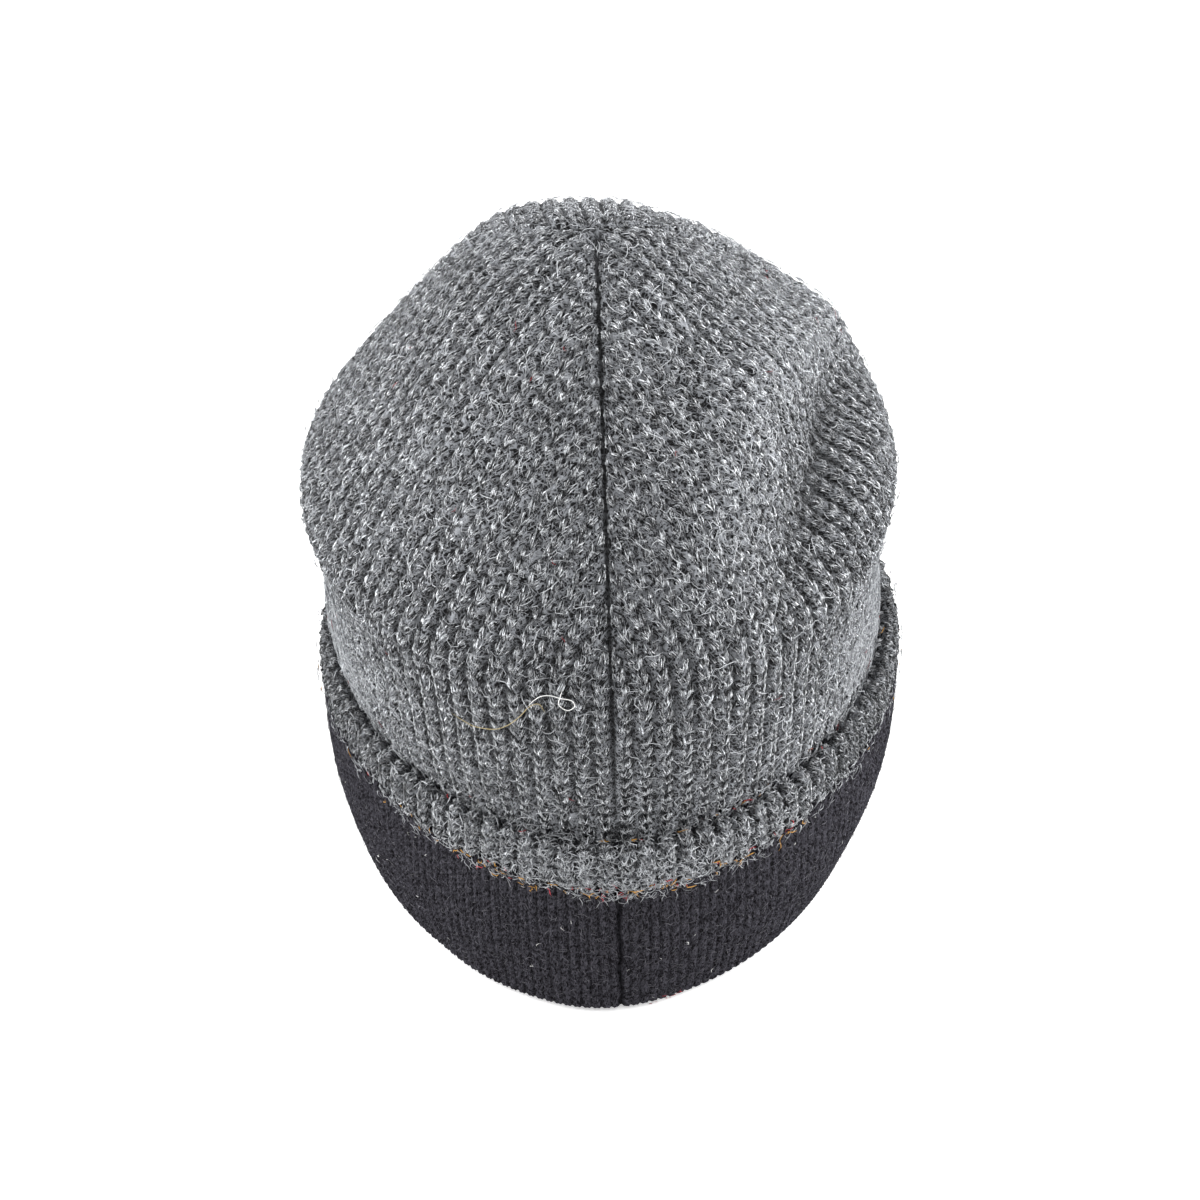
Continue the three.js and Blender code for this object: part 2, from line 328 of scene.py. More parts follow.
def lay_ribs(face: Face, per_panel: int, floor_pitch: Values, seams: Values, relief: Values) -> Ribs:
    """Lays ribs side by side from the middle of each panel, so that they run into its seams where it narrows.

    Rib k of a panel lies k·pitch from the panel's middle line, with pitch the larger of the floor pitch and
    the panel's width divided by its ribs.

    Args:
        face: the face that carries them.
        per_panel: ribs in a panel.
        floor_pitch: the pitch that ribs keep, for each station.
        seams: 0 to 1 for each station, how deep seams are: column 0 the back seam, column 1 the side darts.
        relief: 0 to 1 for each station, how far the valleys between ribs are sunk.

    Returns:
        The ribs of all panels.
    """
    parts: dict[str, list[Values]] = {name: [] for name in Ribs.__dataclass_fields__}
    for panel in range(PANELS):
        room = face.lengths[:, panel, -1] / 2
        pitch = np.maximum(floor_pitch, 2 * room / per_panel)
        offset = (np.arange(per_panel) - (per_panel - 1) / 2)[None, :] * pitch[:, None]
        columns = face.columns_at(panel, offset + room[:, None])
        centre = face.take(face.points, columns)
        along = unit(np.gradient(centre, axis=0))
        out = unit(face.take(face.out, columns))
        step = np.linalg.norm(np.diff(centre, axis=0), axis=-1)
        travel = np.concatenate([np.zeros((1, per_panel)), np.cumsum(step, axis=0)])
        ones = np.ones_like(offset)
        parts["centre"].append(centre)
        parts["side"].append(unit(np.cross(out, along)))
        parts["out"].append(out)
        parts["travel"].append(travel)
        parts["pitch"].append(pitch[:, None] * ones)
        parts["room_low"].append(room[:, None] + offset)
        parts["room_high"].append(room[:, None] - offset)
        parts["seam_low"].append((seams[:, :1] if panel == 0 else seams[:, 1:]) * ones)
        parts["seam_high"].append((seams[:, :1] if panel == PANELS - 1 else seams[:, 1:]) * ones)
        parts["relief"].append(relief[:, None] * ones)
        parts["shade"].append(face.take(face.shade[..., None], columns)[..., 0])
    joined = {name: np.concatenate(rows, axis=1).swapaxes(0, 1) for name, rows in parts.items()}
    return Ribs(**joined)


@dataclass(frozen=True)
class Stitch:
    """Sizes of a V stitch, whose two legs are bundles of strands. Lengths are in millimetres.

    Attributes:
        course: height of a stitch.
        strand: thickness of a strand at its fullest.
        strands: how many lie side by side in a leg.
        strand_gap: distance from one strand to the next.
        lean: how far a strand leans out over its length.
        reach: height of a leg as a share of the course.
        root: how far a leg's foot lies from the rib's middle, as a share of the pitch.
        spread: how much farther its top lies, likewise.
        crest: height of the rib's crest over the face.
        valley: how much lower the valley between ribs is.
        seam_gap: how close strands come to a seam.
        seam_depth: how deep they sink there.
        seam_width: how far from the seam they start to sink.
        dip: how much lower the ends of strands and legs are.
        heather: spread of the strands' lightness, as a natural logarithm.
        unevenness: spread of the places of stitches.
        slip: spread of a strand's place in its leg.
        splay: spread of its lean.
        fuzz: spread of its height, and of each of its stations to the side.
        length_range: least and most length of a strand, as a share of the leg.
        late_range: where strands start up the leg, likewise.
        girth_range: least and most thickness, as a share of strand.
        tone_range: least and most lightness.
    """

    course: float
    strand: float = 0.37
    strands: int = 10
    strand_gap: float = 0.19
    lean: float = 0.45
    reach: float = 1.2
    root: float = 0.12
    spread: float = 0.17
    crest: float = -0.14
    valley: float = 2.4
    seam_gap: float = 0.55
    seam_depth: float = 1.6
    seam_width: float = 1.8
    dip: float = 0.35
    heather: float = 0.55
    unevenness: float = 0.2
    slip: float = 0.12
    splay: float = 0.4
    fuzz: float = 0.14
    length_range: tuple[float, float] = (0.5, 0.85)
    late_range: tuple[float, float] = (-0.05, 0.3)
    girth_range: tuple[float, float] = (0.7, 1.2)
    tone_range: tuple[float, float] = (0.12, 1.6)


STRAND_STATIONS = np.array([0.0, 0.45, 1.0])
STRAND_FULLNESS = np.array([0.0, 1.0, 0.0])
STRAND_SIDES = 3
SEED_SPREAD = 400.0


@dataclass
class Strands:
    """Points, faces and yarn coordinates of many closed tapered strands, ready to be made one mesh."""

    points: Values
    quads: Counts
    triangles: Counts
    yarn: Values
    tone: Values


def tube_strands(line: Values, width: Values, thickness: Values, out: Values, sides: int, tone: Values,
                 seed: Values) -> Strands:
    """Closed tubes along lines, pointed at both ends.

    A ring's point is line + across·width/2·cos(a) + outward·thickness/2·sin(a), a running once round.

    Args:
        line: middle lines, (strands, stations, 3).
        width: widths across, (strands, stations), nought at both ends.
        thickness: thicknesses outward, likewise.
        out: outward directions, (strands, stations, 3).
        sides: sides of a tube.
        tone: lightness of each strand, (strands,).
        seed: two offsets in millimetres for each strand, (strands, 2), so that no two look alike.

    Returns:
        The strands.
    """
    strands, stations = line.shape[:2]
    along = unit(np.gradient(line, axis=1))
    across = unit(np.cross(out, along))
    outward = np.cross(along, across)
    angle = np.arange(sides) * 2 * np.pi / sides - np.pi / 2
    ring = (
        line[:, 1:-1, None]
        + across[:, 1:-1, None] * (np.cos(angle)[:, None] * width[:, 1:-1, None, None] / 2)
        + outward[:, 1:-1, None] * (np.sin(angle)[:, None] * thickness[:, 1:-1, None, None] / 2)
    )
    rings = stations - 2
    body = ring.reshape(strands, rings * sides, 3)
    points = np.concatenate([body, line[:, :1], line[:, -1:]], axis=1)
    per_strand = rings * sides + 2

    k = np.arange(sides)
    after = (k + 1) % sides
    r = np.arange(rings - 1)[:, None] * sides
    quads = np.stack([r + k, r + after, r + sides + after, r + sides + k], axis=-1).reshape(-1, 4)
    first = np.stack([after, k, np.full(sides, rings * sides)], axis=-1)
    last_ring = (rings - 1) * sides
    last = np.stack([last_ring + k, last_ring + after, np.full(sides, rings * sides + 1)], axis=-1)
    triangles = np.concatenate([first, last])

    shift = (np.arange(strands) * per_strand)[:, None, None]
    travel = np.cumsum(np.linalg.norm(np.diff(line, axis=1, prepend=line[:, :1]), axis=-1), axis=1)
    girth = np.pi * (width.max() + thickness.max()) / 2
    around = np.tile(np.arange(sides) / sides * girth, rings)
    across_mm = np.concatenate([around, [girth / 2, girth / 2]])[None, :] + seed[:, :1]
    ahead = np.concatenate([np.repeat(travel[:, 1:-1], sides, axis=1), travel[:, :1], travel[:, -1:]], axis=1)
    yarn = np.stack([across_mm, ahead + seed[:, 1:2], np.repeat(seed[:, :1], per_strand, axis=1)], axis=-1)
    return Strands(
        points=points.reshape(-1, 3),
        quads=(quads[None] + shift).reshape(-1, 4),
        triangles=(triangles[None] + shift).reshape(-1, 3),
        yarn=yarn.reshape(-1, 3),
        tone=np.repeat(tone, per_strand),
    )


def knit_legs(ribs: Ribs, stitch: Stitch, rng: np.random.Generator, start: float, stop: float) -> Strands:
    """Both legs of every V stitch along ribs, each leg a bundle of strands that lie side by side.

    With u from 0 to 1 up a leg and v from 0 to 1 along a strand, a strand lies pitch·(root + spread·u) +
    lean·(v - 1/2) to the side of the rib's middle, and its own place in the bundle farther. Its height is
    crest - valley·(aside / half pitch)², less depth·exp(-(gap / width)²) by a seam, less dip·((2v - 1)² +
    (1.6u - 0.8)²).

    Args:
        ribs: the ribs, already chosen.
        stitch: sizes.
        rng: source of unevenness.
        start: travel along the ribs at which stitches start.
        stop: travel at which they end, if the rib hasn't run under a seam before.

    Returns:
        The strands.
    """
    names = ("pitch", "room_low", "room_high", "seam_low", "seam_high", "relief")
    lines: list[Values] = []
    outs: list[Values] = []
    tones: list[Values] = []
    hand = np.array([-1.0, 1.0])[None, :, None, None]
    place = (np.arange(stitch.strands) - (stitch.strands - 1) / 2)[None, None, :, None]
    for rib in range(len(ribs.centre)):
        travel = ribs.travel[rib]
        free = np.minimum(ribs.room_low[rib], ribs.room_high[rib]) > -0.25 * ribs.pitch[rib]
        end = min(stop, travel[len(free) - 1] if free.all() else travel[int(np.argmin(free))])
        first = start + rng.uniform(-0.3, 0.3) * stitch.course
        courses = np.arange(first, end - 0.3 * stitch.course, stitch.course)
        if not len(courses):
            continue
        courses = courses + rng.normal(0, stitch.unevenness, len(courses))
        shape = (len(courses), 2, stitch.strands, 1)
        length = rng.uniform(*stitch.length_range, shape)
        late = rng.uniform(*stitch.late_range, shape)
        share = late + STRAND_STATIONS * length
        at = courses[:, None, None, None] + share * stitch.reach * stitch.course
        pitch, room_low, room_high, seam_low, seam_high, relief = (
            np.interp(at, travel, getattr(ribs, name)[rib]) for name in names
        )
        centre, side, out = (
            np.stack([np.interp(at, travel, grid[rib][:, i]) for i in range(3)], axis=-1)
            for grid in (ribs.centre, ribs.side, ribs.out)
        )
        leaning = STRAND_STATIONS - 0.5
        aside = hand * (pitch * (stitch.root + stitch.spread * share) + stitch.lean * leaning)
        aside = aside + place * stitch.strand_gap + rng.normal(0, stitch.slip, shape)
        aside = aside + rng.normal(0, 0.6 * stitch.unevenness, (len(courses), 2, 1, 1))
        aside = aside + rng.normal(0, stitch.splay, shape) * leaning
        aside = np.maximum(aside, stitch.seam_gap * seam_low - room_low)
        aside = np.minimum(aside, room_high - stitch.seam_gap * seam_high)
        height = stitch.crest - stitch.valley * relief * (aside / (pitch / 2)) ** 2
        for gap, seam in ((room_low + aside, seam_low), (room_high - aside, seam_high)):
            height = height - stitch.seam_depth * seam * np.exp(-((gap / stitch.seam_width) ** 2))
        height = height - stitch.dip * ((2 * STRAND_STATIONS - 1) ** 2 + (1.6 * share - 0.8) ** 2)
        height = height + rng.normal(0, stitch.fuzz, shape)
        count = len(STRAND_STATIONS)
        aside = aside + rng.normal(0, stitch.fuzz, shape[:3] + (count,))
        lines.append((centre + side * aside[..., None] + out * height[..., None]).reshape(-1, count, 3))
        outs.append(out.reshape(-1, count, 3))
        # The strands' tone takes up the face's painted light and shade.
        shade = np.interp(at[..., 0], travel, ribs.shade[rib]).ravel()
        mixed = np.exp(rng.normal(0, stitch.heather, len(shade)))
        tones.append(np.clip(mixed, *stitch.tone_range) * np.exp(shade))
    line = np.concatenate(lines)
    size = stitch.strand * rng.uniform(*stitch.girth_range, (len(line), 1)) * STRAND_FULLNESS
    return tube_strands(
        line,
        size,
        size,
        np.concatenate(outs),
        STRAND_SIDES,
        tone=np.concatenate(tones),
        seed=rng.uniform(0, SEED_SPREAD, (len(line), 2)),
    )


def ribs_between(ribs: Ribs, first: int, last: int) -> Ribs:
    """The ribs from one number up to another."""
    return Ribs(**{name: getattr(ribs, name)[first:last] for name in Ribs.__dataclass_fields__})


def new_piece(name: str, points: Values, corners: list[Counts], material: bpy.types.Material) -> bpy.types.Object:
    """Makes a smooth-shaded object at the origin from points in millimetres and faces.

    Args:
        name: the piece's name.
        points: points, (n, 3).
        corners: arrays of faces, each (m, corners of a face).
        material: its material.

    Returns:
        The object, riding on the root body.
    """
    mesh = bpy.data.meshes.new(name)
    mesh.vertices.add(len(points))
    mesh.vertices.foreach_set("co", (points * MM).astype(np.float32).ravel())
    sizes = np.concatenate([np.full(len(faces), faces.shape[1]) for faces in corners])
    loops = np.concatenate([faces.ravel() for faces in corners]).astype(np.int32)
    mesh.loops.add(len(loops))
    mesh.loops.foreach_set("vertex_index", loops)
    mesh.polygons.add(len(sizes))
    starts = np.concatenate([[0], np.cumsum(sizes)[:-1]]).astype(np.int32)
    mesh.polygons.foreach_set("loop_start", starts)
    mesh.polygons.foreach_set("use_smooth", np.ones(len(sizes), dtype=bool))
    mesh.update(calc_edges=True)
    mesh.validate()
    mesh.materials.append(material)
    piece = bpy.data.objects.new(name, mesh)
    bpy.context.scene.collection.objects.link(piece)
    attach(piece, "root")
    triangles = int((sizes - 2).sum())
    LOG.info("%s: %d points, %d triangles", name, len(points), triangles)
    return piece


def set_attributes(piece: bpy.types.Object, yarn: Values, tone: Values) -> None:
    """Stores what the materials read on a piece's points.

    Args:
        piece: the piece.
        yarn: yarn coordinates in millimetres, or knit coordinates, (n, 3).
        tone: lightness, (n,).
    """
    coordinates = piece.data.attributes.new("yarn", "FLOAT_VECTOR", "POINT")
    coordinates.data.foreach_set("vector", yarn.astype(np.float32).ravel())
    lightness = piece.data.attributes.new("tone", "FLOAT", "POINT")
    lightness.data.foreach_set("value", tone.astype(np.float32))


def strands_piece(name: str, strands: Strands, material: bpy.types.Material) -> bpy.types.Object:
    """Makes strands one piece.

    Args:
        name: the piece's name.
        strands: the strands.
        material: its material.

    Returns:
        The object.
    """
    piece = new_piece(name, strands.points, [strands.quads, strands.triangles], material)
    set_attributes(piece, strands.yarn, strands.tone)
    return piece


def ring_faces(rings: int, columns: int, closed: bool) -> Counts:
    """Quads between rings of points that each run once round.

    Args:
        rings: how many rings there are.
        columns: points in a ring.
        closed: whether the last ring is joined to the first.

    Returns:
        The quads, (n, 4), ring after ring.
    """
    j = np.arange(rings if closed else rings - 1)[:, None]
    i = np.arange(columns)[None, :]
    above = (j + 1) % rings
    after = (i + 1) % columns
    corners = [j * columns + i, j * columns + after, above * columns + after, above * columns + i]
    return np.stack([corner + 0 * (j + i) for corner in corners], axis=-1).reshape(-1, 4)


def add_node(tree: bpy.types.NodeTree, kind: str, links: dict[str, bpy.types.NodeSocket] | None = None,
             values: dict[str, object] | None = None, **settings: object) -> bpy.types.Node:
    """Adds a node with its settings, socket values and incoming links.

    Args:
        tree: the material's or world's node tree.
        kind: the node's type name.
        links: input name or number to the output that feeds it.
        values: input name or number to a constant.
        **settings: the node's own properties.

    Returns:
        The node.
    """
    node = tree.nodes.new(kind)
    for name, value in settings.items():
        setattr(node, name, value)
    for name, value in (values or {}).items():
        node.inputs[name].default_value = value
    for name, socket in (links or {}).items():
        tree.links.new(socket, node.inputs[name])
    return node


def linear(hex_colour: str) -> tuple[float, float, float, float]:
    """An sRGB hex colour as a linear one.

    Args:
        hex_colour: the colour as "#rrggbb".

    Returns:
        Red, green, blue and alpha.
    """
    parts = [int(hex_colour[i : i + 2], 16) / 255 for i in (1, 3, 5)]
    low = [part / 12.92 if part <= 0.04045 else ((part + 0.055) / 1.055) ** 2.4 for part in parts]
    return (low[0], low[1], low[2], 1.0)


LEG_LEAN = math.radians(28)
HAND_SHIFT = 7.3
PANEL_SEED = 40


@dataclass(frozen=True)
class Wool:
    """Finish of a carded wool yarn: short dark and light fibres spun together, matt and a little hairy.

    The ramp says at which values of the streaks' noise the wool is dark, middle and light. Fibre width,
    length, relief, knit pitch and stray spacing are in millimetres. With a knit pitch of nought the yarn
    attribute holds yarn coordinates already.
    """

    name: str
    dark: str
    middle: str
    light: str
    fibre_width: float
    fibre_length: float
    relief: float
    stray: str
    ramp: tuple[float, float, float] = (0.42, 0.52, 0.62)
    knit_pitch: float = 0.0
    stray_spacing: float = 2.6
    stray_core: float = 0.012
    stray_edge: float = 0.05
    stray_share: float = 0.7
    sheen: float = 0.7
    roughness: float = 0.95
    specular: float = 0.2

    def stray_fibres(self, tree: bpy.types.NodeTree, place: bpy.types.NodeSocket,
                     number: int) -> bpy.types.NodeSocket:
        """Thin curly lines across the surface: where a noise is within a hair's width of one half.

        Args:
            tree: the material's nodes.
            place: object coordinates, in metres.
            number: which layer of lines, so that layers differ.

        Returns:
            The stray share on a line and 0 elsewhere.
        """
        apart = (0.31 * number, 0.17 * number, 0.23)
        moved = add_node(
            tree, "ShaderNodeVectorMath", {0: place}, {1: apart}, operation="ADD"
        ).outputs["Vector"]
        field = add_node(
            tree, "ShaderNodeTexNoise", {"Vector": moved},
            {"Scale": 1 / (self.stray_spacing * MM), "Detail": 1.0, "Roughness": 0.5, "Distortion": 0.8},
        ).outputs["Fac"]
        middle = add_node(tree, "ShaderNodeMath", {0: field}, {1: 0.5}, operation="SUBTRACT").outputs["Value"]
        away = add_node(tree, "ShaderNodeMath", {0: middle}, operation="ABSOLUTE").outputs["Value"]
        limits = {"From Min": self.stray_core, "From Max": self.stray_edge}
        return add_node(
            tree, "ShaderNodeMapRange", {"Value": away}, {**limits, "To Min": self.stray_share, "To Max": 0.0}
        ).outputs["Result"]

    def leaning(self, tree: bpy.types.NodeTree, yarn: bpy.types.NodeSocket) -> bpy.types.NodeSocket:
        """Turns knit coordinates into yarn coordinates that lean out of each rib's middle.

        The distance from the rib's middle and the travel are turned together by the angle at which the legs
        lean, and either side of a rib gets a pattern of its own.

        Args:
            tree: the material's nodes.
            yarn: rib number, travel in mm and panel.

        Returns:
            Across and along a leg in mm, and a number that differs from one side of a rib to the other.
        """
        maths = "ShaderNodeMath"
        rib, travel, panel = add_node(tree, "ShaderNodeSeparateXYZ", {0: yarn}).outputs
        nearest = add_node(tree, maths, {0: rib}, operation="ROUND").outputs[0]
        place = add_node(tree, maths, {0: rib, 1: nearest}, operation="SUBTRACT").outputs[0]
        away = add_node(tree, maths, {0: place}, operation="ABSOLUTE").outputs[0]
        aside = add_node(tree, maths, {0: away}, {1: self.knit_pitch}, operation="MULTIPLY").outputs[0]
        hand = add_node(tree, maths, {0: place}, operation="SIGN").outputs[0]
        apart = {1: HAND_SHIFT}
        side = add_node(tree, maths, {0: hand, 2: panel}, apart, operation="MULTIPLY_ADD").outputs[0]
        upright = add_node(tree, "ShaderNodeCombineXYZ", {0: aside, 1: travel, 2: side}).outputs["Vector"]
        leaning = add_node(
            tree, "ShaderNodeVectorRotate", {"Vector": upright}, {"Angle": LEG_LEAN}, rotation_type="Z_AXIS"
        )
        return leaning.outputs["Vector"]

    def material(self) -> bpy.types.Material:
        """The wool as a material: streaks of fibre along the yarn coordinates, crossed by stray fibres.

        Its colour is that of the fibres times the tone attribute, and fibres stand out as bumps.

        Returns:
            The material.
        """
        material = bpy.data.materials.new(self.name)
        material.use_nodes = True
        tree = material.node_tree
        tree.nodes.clear()
        yarn = add_node(tree, "ShaderNodeAttribute", attribute_name="yarn").outputs["Vector"]
        if self.knit_pitch:
            yarn = self.leaning(tree, yarn)
        tone = add_node(tree, "ShaderNodeAttribute", attribute_name="tone").outputs["Fac"]
        place = add_node(tree, "ShaderNodeTexCoord").outputs["Object"]
        stretch = (1 / self.fibre_width, 1 / self.fibre_length, 1.0)
        fibres = add_node(
            tree, "ShaderNodeVectorMath", {0: yarn}, {1: stretch}, operation="MULTIPLY"
        ).outputs["Vector"]
        streaks = add_node(
            tree, "ShaderNodeTexNoise", {"Vector": fibres},
            {"Scale": 1.0, "Detail": 2.0, "Roughness": 0.7, "Distortion": 0.9},
        ).outputs["Fac"]
        ramp = add_node(tree, "ShaderNodeValToRGB", {"Fac": streaks})
        stops = ramp.color_ramp.elements
        stops[0].position, stops[0].color = self.ramp[0], linear(self.dark)
        stops[1].position, stops[1].color = self.ramp[2], linear(self.light)
        middle = stops.new(self.ramp[1])
        middle.color = linear(self.middle)
        colour = ramp.outputs["Color"]
        height = streaks
        for number, fibre in enumerate((self.dark, self.stray, self.stray)):
            line = self.stray_fibres(tree, place, number + 1)
            mixer = add_node(
                tree, "ShaderNodeMix", {0: line, 6: colour}, {7: linear(fibre)}, data_type="RGBA"
            )
            colour = mixer.outputs[2]
            height = add_node(tree, "ShaderNodeMath", {0: height, 1: line}, operation="ADD").outputs["Value"]
        toned = add_node(
            tree, "ShaderNodeVectorMath", {0: colour, "Scale": tone}, operation="SCALE"
        ).outputs["Vector"]
        bump = add_node(
            tree, "ShaderNodeBump", {"Height": height}, {"Strength": 0.9, "Distance": self.relief * MM}
        ).outputs["Normal"]
        shader = add_node(
            tree, "ShaderNodeBsdfPrincipled", {"Base Color": toned, "Normal": bump},
            {
                "Roughness": self.roughness,
                "Specular IOR Level": self.specular,
                "Sheen Weight": self.sheen,
                "Sheen Roughness": 0.4,
                "Sheen Tint": (1.0, 1.0, 1.0, 1.0),
            },
        )
        add_node(tree, "ShaderNodeOutputMaterial", {"Surface": shader.outputs["BSDF"]})
        return material


# Grey heather wool: light and dark fleece carded together, so every yarn shows pale and nearly black hairs.
GREY_HEATHER = Wool(
    "grey heather wool, carded and knitted", "#0d0d0e", "#6c6d70", "#eceef1", 0.3, 2.2, 0.2, stray="#ced1d5",
    ramp=(0.43, 0.52, 0.61), sheen=0.1,
)
# The ground between stitches: a darker copy of the same wool, painted shade where only the shaded backs of its
# loops show.
GREY_GROUND = Wool(
    "grey heather wool, painted shade between loops", "#040405", "#242528", "#a2a4a8", 0.28, 2.2, 0.25, stray="#9a9da2",
    ramp=(0.45, 0.54, 0.64), knit_pitch=6.0, sheen=0.0,
)
# Black wool: piece-dyed fibres with a violet cast in the light, felted a little by wear.
BLACK_WOOL = Wool(
    "black dyed wool, fine knit", "#100f11", "#2b2a2e", "#4a494f", 0.4, 1.6, 0.16, stray="#46454b",
    stray_share=0.5, sheen=0.0, specular=0.0,
)


@dataclass(frozen=True)
class Hair:
    """Finish of loose wool fibres: single keratin hairs, too thin to shade themselves, slightly glossy."""

    name: str
    colour: str
    roughness: float = 0.6

    def material(self) -> bpy.types.Material:
        """The hairs as a material, each as light as its tone says.

        Returns:
            The material.
        """
        material = bpy.data.materials.new(self.name)
        material.use_nodes = True
        tree = material.node_tree
        tree.nodes.clear()
        tone = add_node(tree, "ShaderNodeAttribute", attribute_name="tone").outputs["Fac"]
        toned = add_node(
            tree, "ShaderNodeVectorMath", {"Scale": tone}, {0: linear(self.colour)[:3]}, operation="SCALE"
        ).outputs["Vector"]
        shader = add_node(
            tree, "ShaderNodeBsdfPrincipled", {"Base Color": toned},
            {"Roughness": self.roughness, "Specular IOR Level": 0.3},
        )
        add_node(tree, "ShaderNodeOutputMaterial", {"Surface": shader.outputs["BSDF"]})
        return material


class Fibre(Enum):
    """Kinds of loose fibre that cling to the knit."""

    GREY = Hair("loose grey wool hair", "#c9ccd0")
    DARK = Hair("loose dark wool hair", "#5b5a61")
    RED = Hair("loose red wool hair", "#b0202c")
    YELLOW = Hair("loose ochre wool hair", "#c8923a")
    GOLD = Hair("loose pale gold hair", "#b2a276")
    WHITE = Hair("loose white hair", "#f2f2f0")


@dataclass(frozen=True)
class Crown:
    """The ribbed crown: V stitches over a closed shell whose lining face is knitted too.

    Sizes are in millimetres and turns in degrees. Starts are given from 0 at the widest level to 1 at the
    tip. Shades are natural logarithms of lightness: painted light on the ridge (for each mm), painted shade in
    the dent (for each mm²) and painted light on the flanks; and shares of lightness that are taken away as
    painted shade in valleys, and as a dark line in seams.
    """

    # The wall and the foot that hangs behind the cuff.
    wall: float = 4.0
    foot_levels: tuple[float, float, float] = (4.3, 26.0, 43.0)
    foot_depth: float = 4.7
    # Ribs, which slacken above the widest level and narrow towards the tip.
    ribs_in_panel: int = 31
    pitch_share_at_tip: float = 0.9
    slack_start: float = 0.4
    relief_at_tip: float = 0.7
    # The face's stations, how many of them the shell skips through, and its columns in a panel.
    stations: int = 190
    stations_in_ring: int = 3
    shell_columns: int = 92
    shell_pitch: float = 6.0
    tip_rise: float = 1.0
    lining_tip_rise: float = 0.6
    # The ground between stitches, which lies a little under the face, and the lining.
    ground_depth: float = 0.35
    ground_relief: float = 1.6
    # valley_shade is painted shade in the valleys between ribs.
    valley_shade: float = 0.82
    lining_ridge: float = 0.7
    lining_tone: float = 1.5
    # Seams: grooves with a dark line. The back seam is full down to one level and faint under another.
    seam_groove: float = 2.2
    seam_reach: float = 1.1
    seam_columns: tuple[float, ...] = (0.0, 0.45, 0.95, 1.6)
    seam_margin: float = 0.4
    seam_line: float = 0.8
    seam_shade: float = 0.85
    seam_low: float = 0.3
    seam_fade: tuple[float, float] = (92.0, 122.0)
    dart_start: float = 0.125
    # Painted light, pale on the ridge and the flanks, and painted shade, dark in the dent.
    ridge_shade: float = 0.07
    dent_shade: float = 0.0065
    flank_shade: float = 0.6
    flank_turn: float = 72.0
    flank_width: float = 24.0
    flank_height: float = 92.0
    flank_reach: float = 22.0
    # Stitches.
    first_stitch_z: float = 60.0
    stitch: Stitch = Stitch(course=4.4)

    def face(self) -> Face:
        """The crown's smooth outer face, from inside the welt to the tip, with its folds.

        Its shade is painted light and shade: ridge_shade·rise on the ridge, -dent_shade·depth² in hollows, and
        flank_shade·flank.

        Returns:
            The face.
        """
        rows = table_of(CROWN_SECTIONS)
        mean = rows[:, 1:5].mean(axis=1)
        knots = np.concatenate([[0], np.cumsum(np.hypot(np.diff(rows[:, 0]), np.diff(mean)))])
        at = np.linspace(0, knots[-1], self.stations)
        smooth = smooth_rows(knots, rows, at)
        smooth[:, 1:5] = np.maximum(smooth[:, 1:5], 0.0)
        plain = Face(section_points(smooth, TURNS))
        rise = fold_rise(plain.points, (SHOULDER_RIDGE, DENT_UNDER_RIDGE, FULL_TOP), CROWN_SECTIONS)
        face = plain.raised(rise)
        sunk = np.minimum(rise, 0)
        # Painted light on the ridge and the flanks, painted shade in the dent.
        face.shade = self.ridge_shade * fold_rise(plain.points, (SHOULDER_RIDGE,), CROWN_SECTIONS)
        face.shade = face.shade - self.dent_shade * sunk**2 + self.flank_shade * self.flank(plain.points)
        return face

    def flank(self, points: Values) -> Values:
        """How close points are to a flank's middle, where painted light makes the wool pale.

        It is exp(-(a / width)² - (h / reach)²), with a the turn and h the height from the flank's middle.

        Args:
            points: the points, (..., 3).

        Returns:
            From 0 far off to 1 in the middle.
        """
        turn = np.abs(np.degrees(np.arctan2(points[..., 0], points[..., 1])))
        across = (turn - self.flank_turn) / self.flank_width
        up = (points[..., 2] - self.flank_height) / self.flank_reach
        return np.exp(-(across**2) - up**2)

    def progress(self, face: Face) -> Values:
        """How far each station lies on the way from the widest one to the tip.

        Args:
            face: the crown's face.

        Returns:
            0 up to the widest station, then rising to 1 at the tip.
        """
        total = face.lengths[:, :, -1].sum(axis=1)
        widest = int(np.argmax(total))
        return np.clip((np.arange(len(total)) - widest) / (len(total) - 1 - widest), 0, 1)

    def seams(self, face: Face) -> Values:
        """How deep the seams are at each station, from 0 to 1.

        Args:
            face: the crown's face.

        Returns:
            The back seam in column 0, and the side darts' seams in column 1.
        """
        height = face.points[..., 2].mean(axis=1)
        low, high = self.seam_fade
        back = self.seam_low + (1 - self.seam_low) * np.clip((height - low) / (high - low), 0, 1)
        darts = np.clip(self.progress(face) / self.dart_start, 0, 1)
        return np.stack([back, darts], axis=1)

    def relief(self, face: Face) -> Values:
        """How far the valleys between ribs are sunk at each station: fully low down, less in the top."""
        return 1 - (1 - self.relief_at_tip) * np.clip(self.progress(face) / self.slack_start, 0, 1)

    def ribs(self, face: Face) -> Ribs:
        """The crown's ribs: as many all round up to the widest station, then running into the darts.

        Args:
            face: the crown's face.

        Returns:
            The ribs.
        """
        progress = self.progress(face)
        pitch = face.lengths[:, :, -1].sum(axis=1).max() / (PANELS * self.ribs_in_panel)
        floor_pitch = np.where(progress > 0, pitch * (1 - (1 - self.pitch_share_at_tip) * progress), 0.0)
        return lay_ribs(face, self.ribs_in_panel, floor_pitch, self.seams(face), self.relief(face))

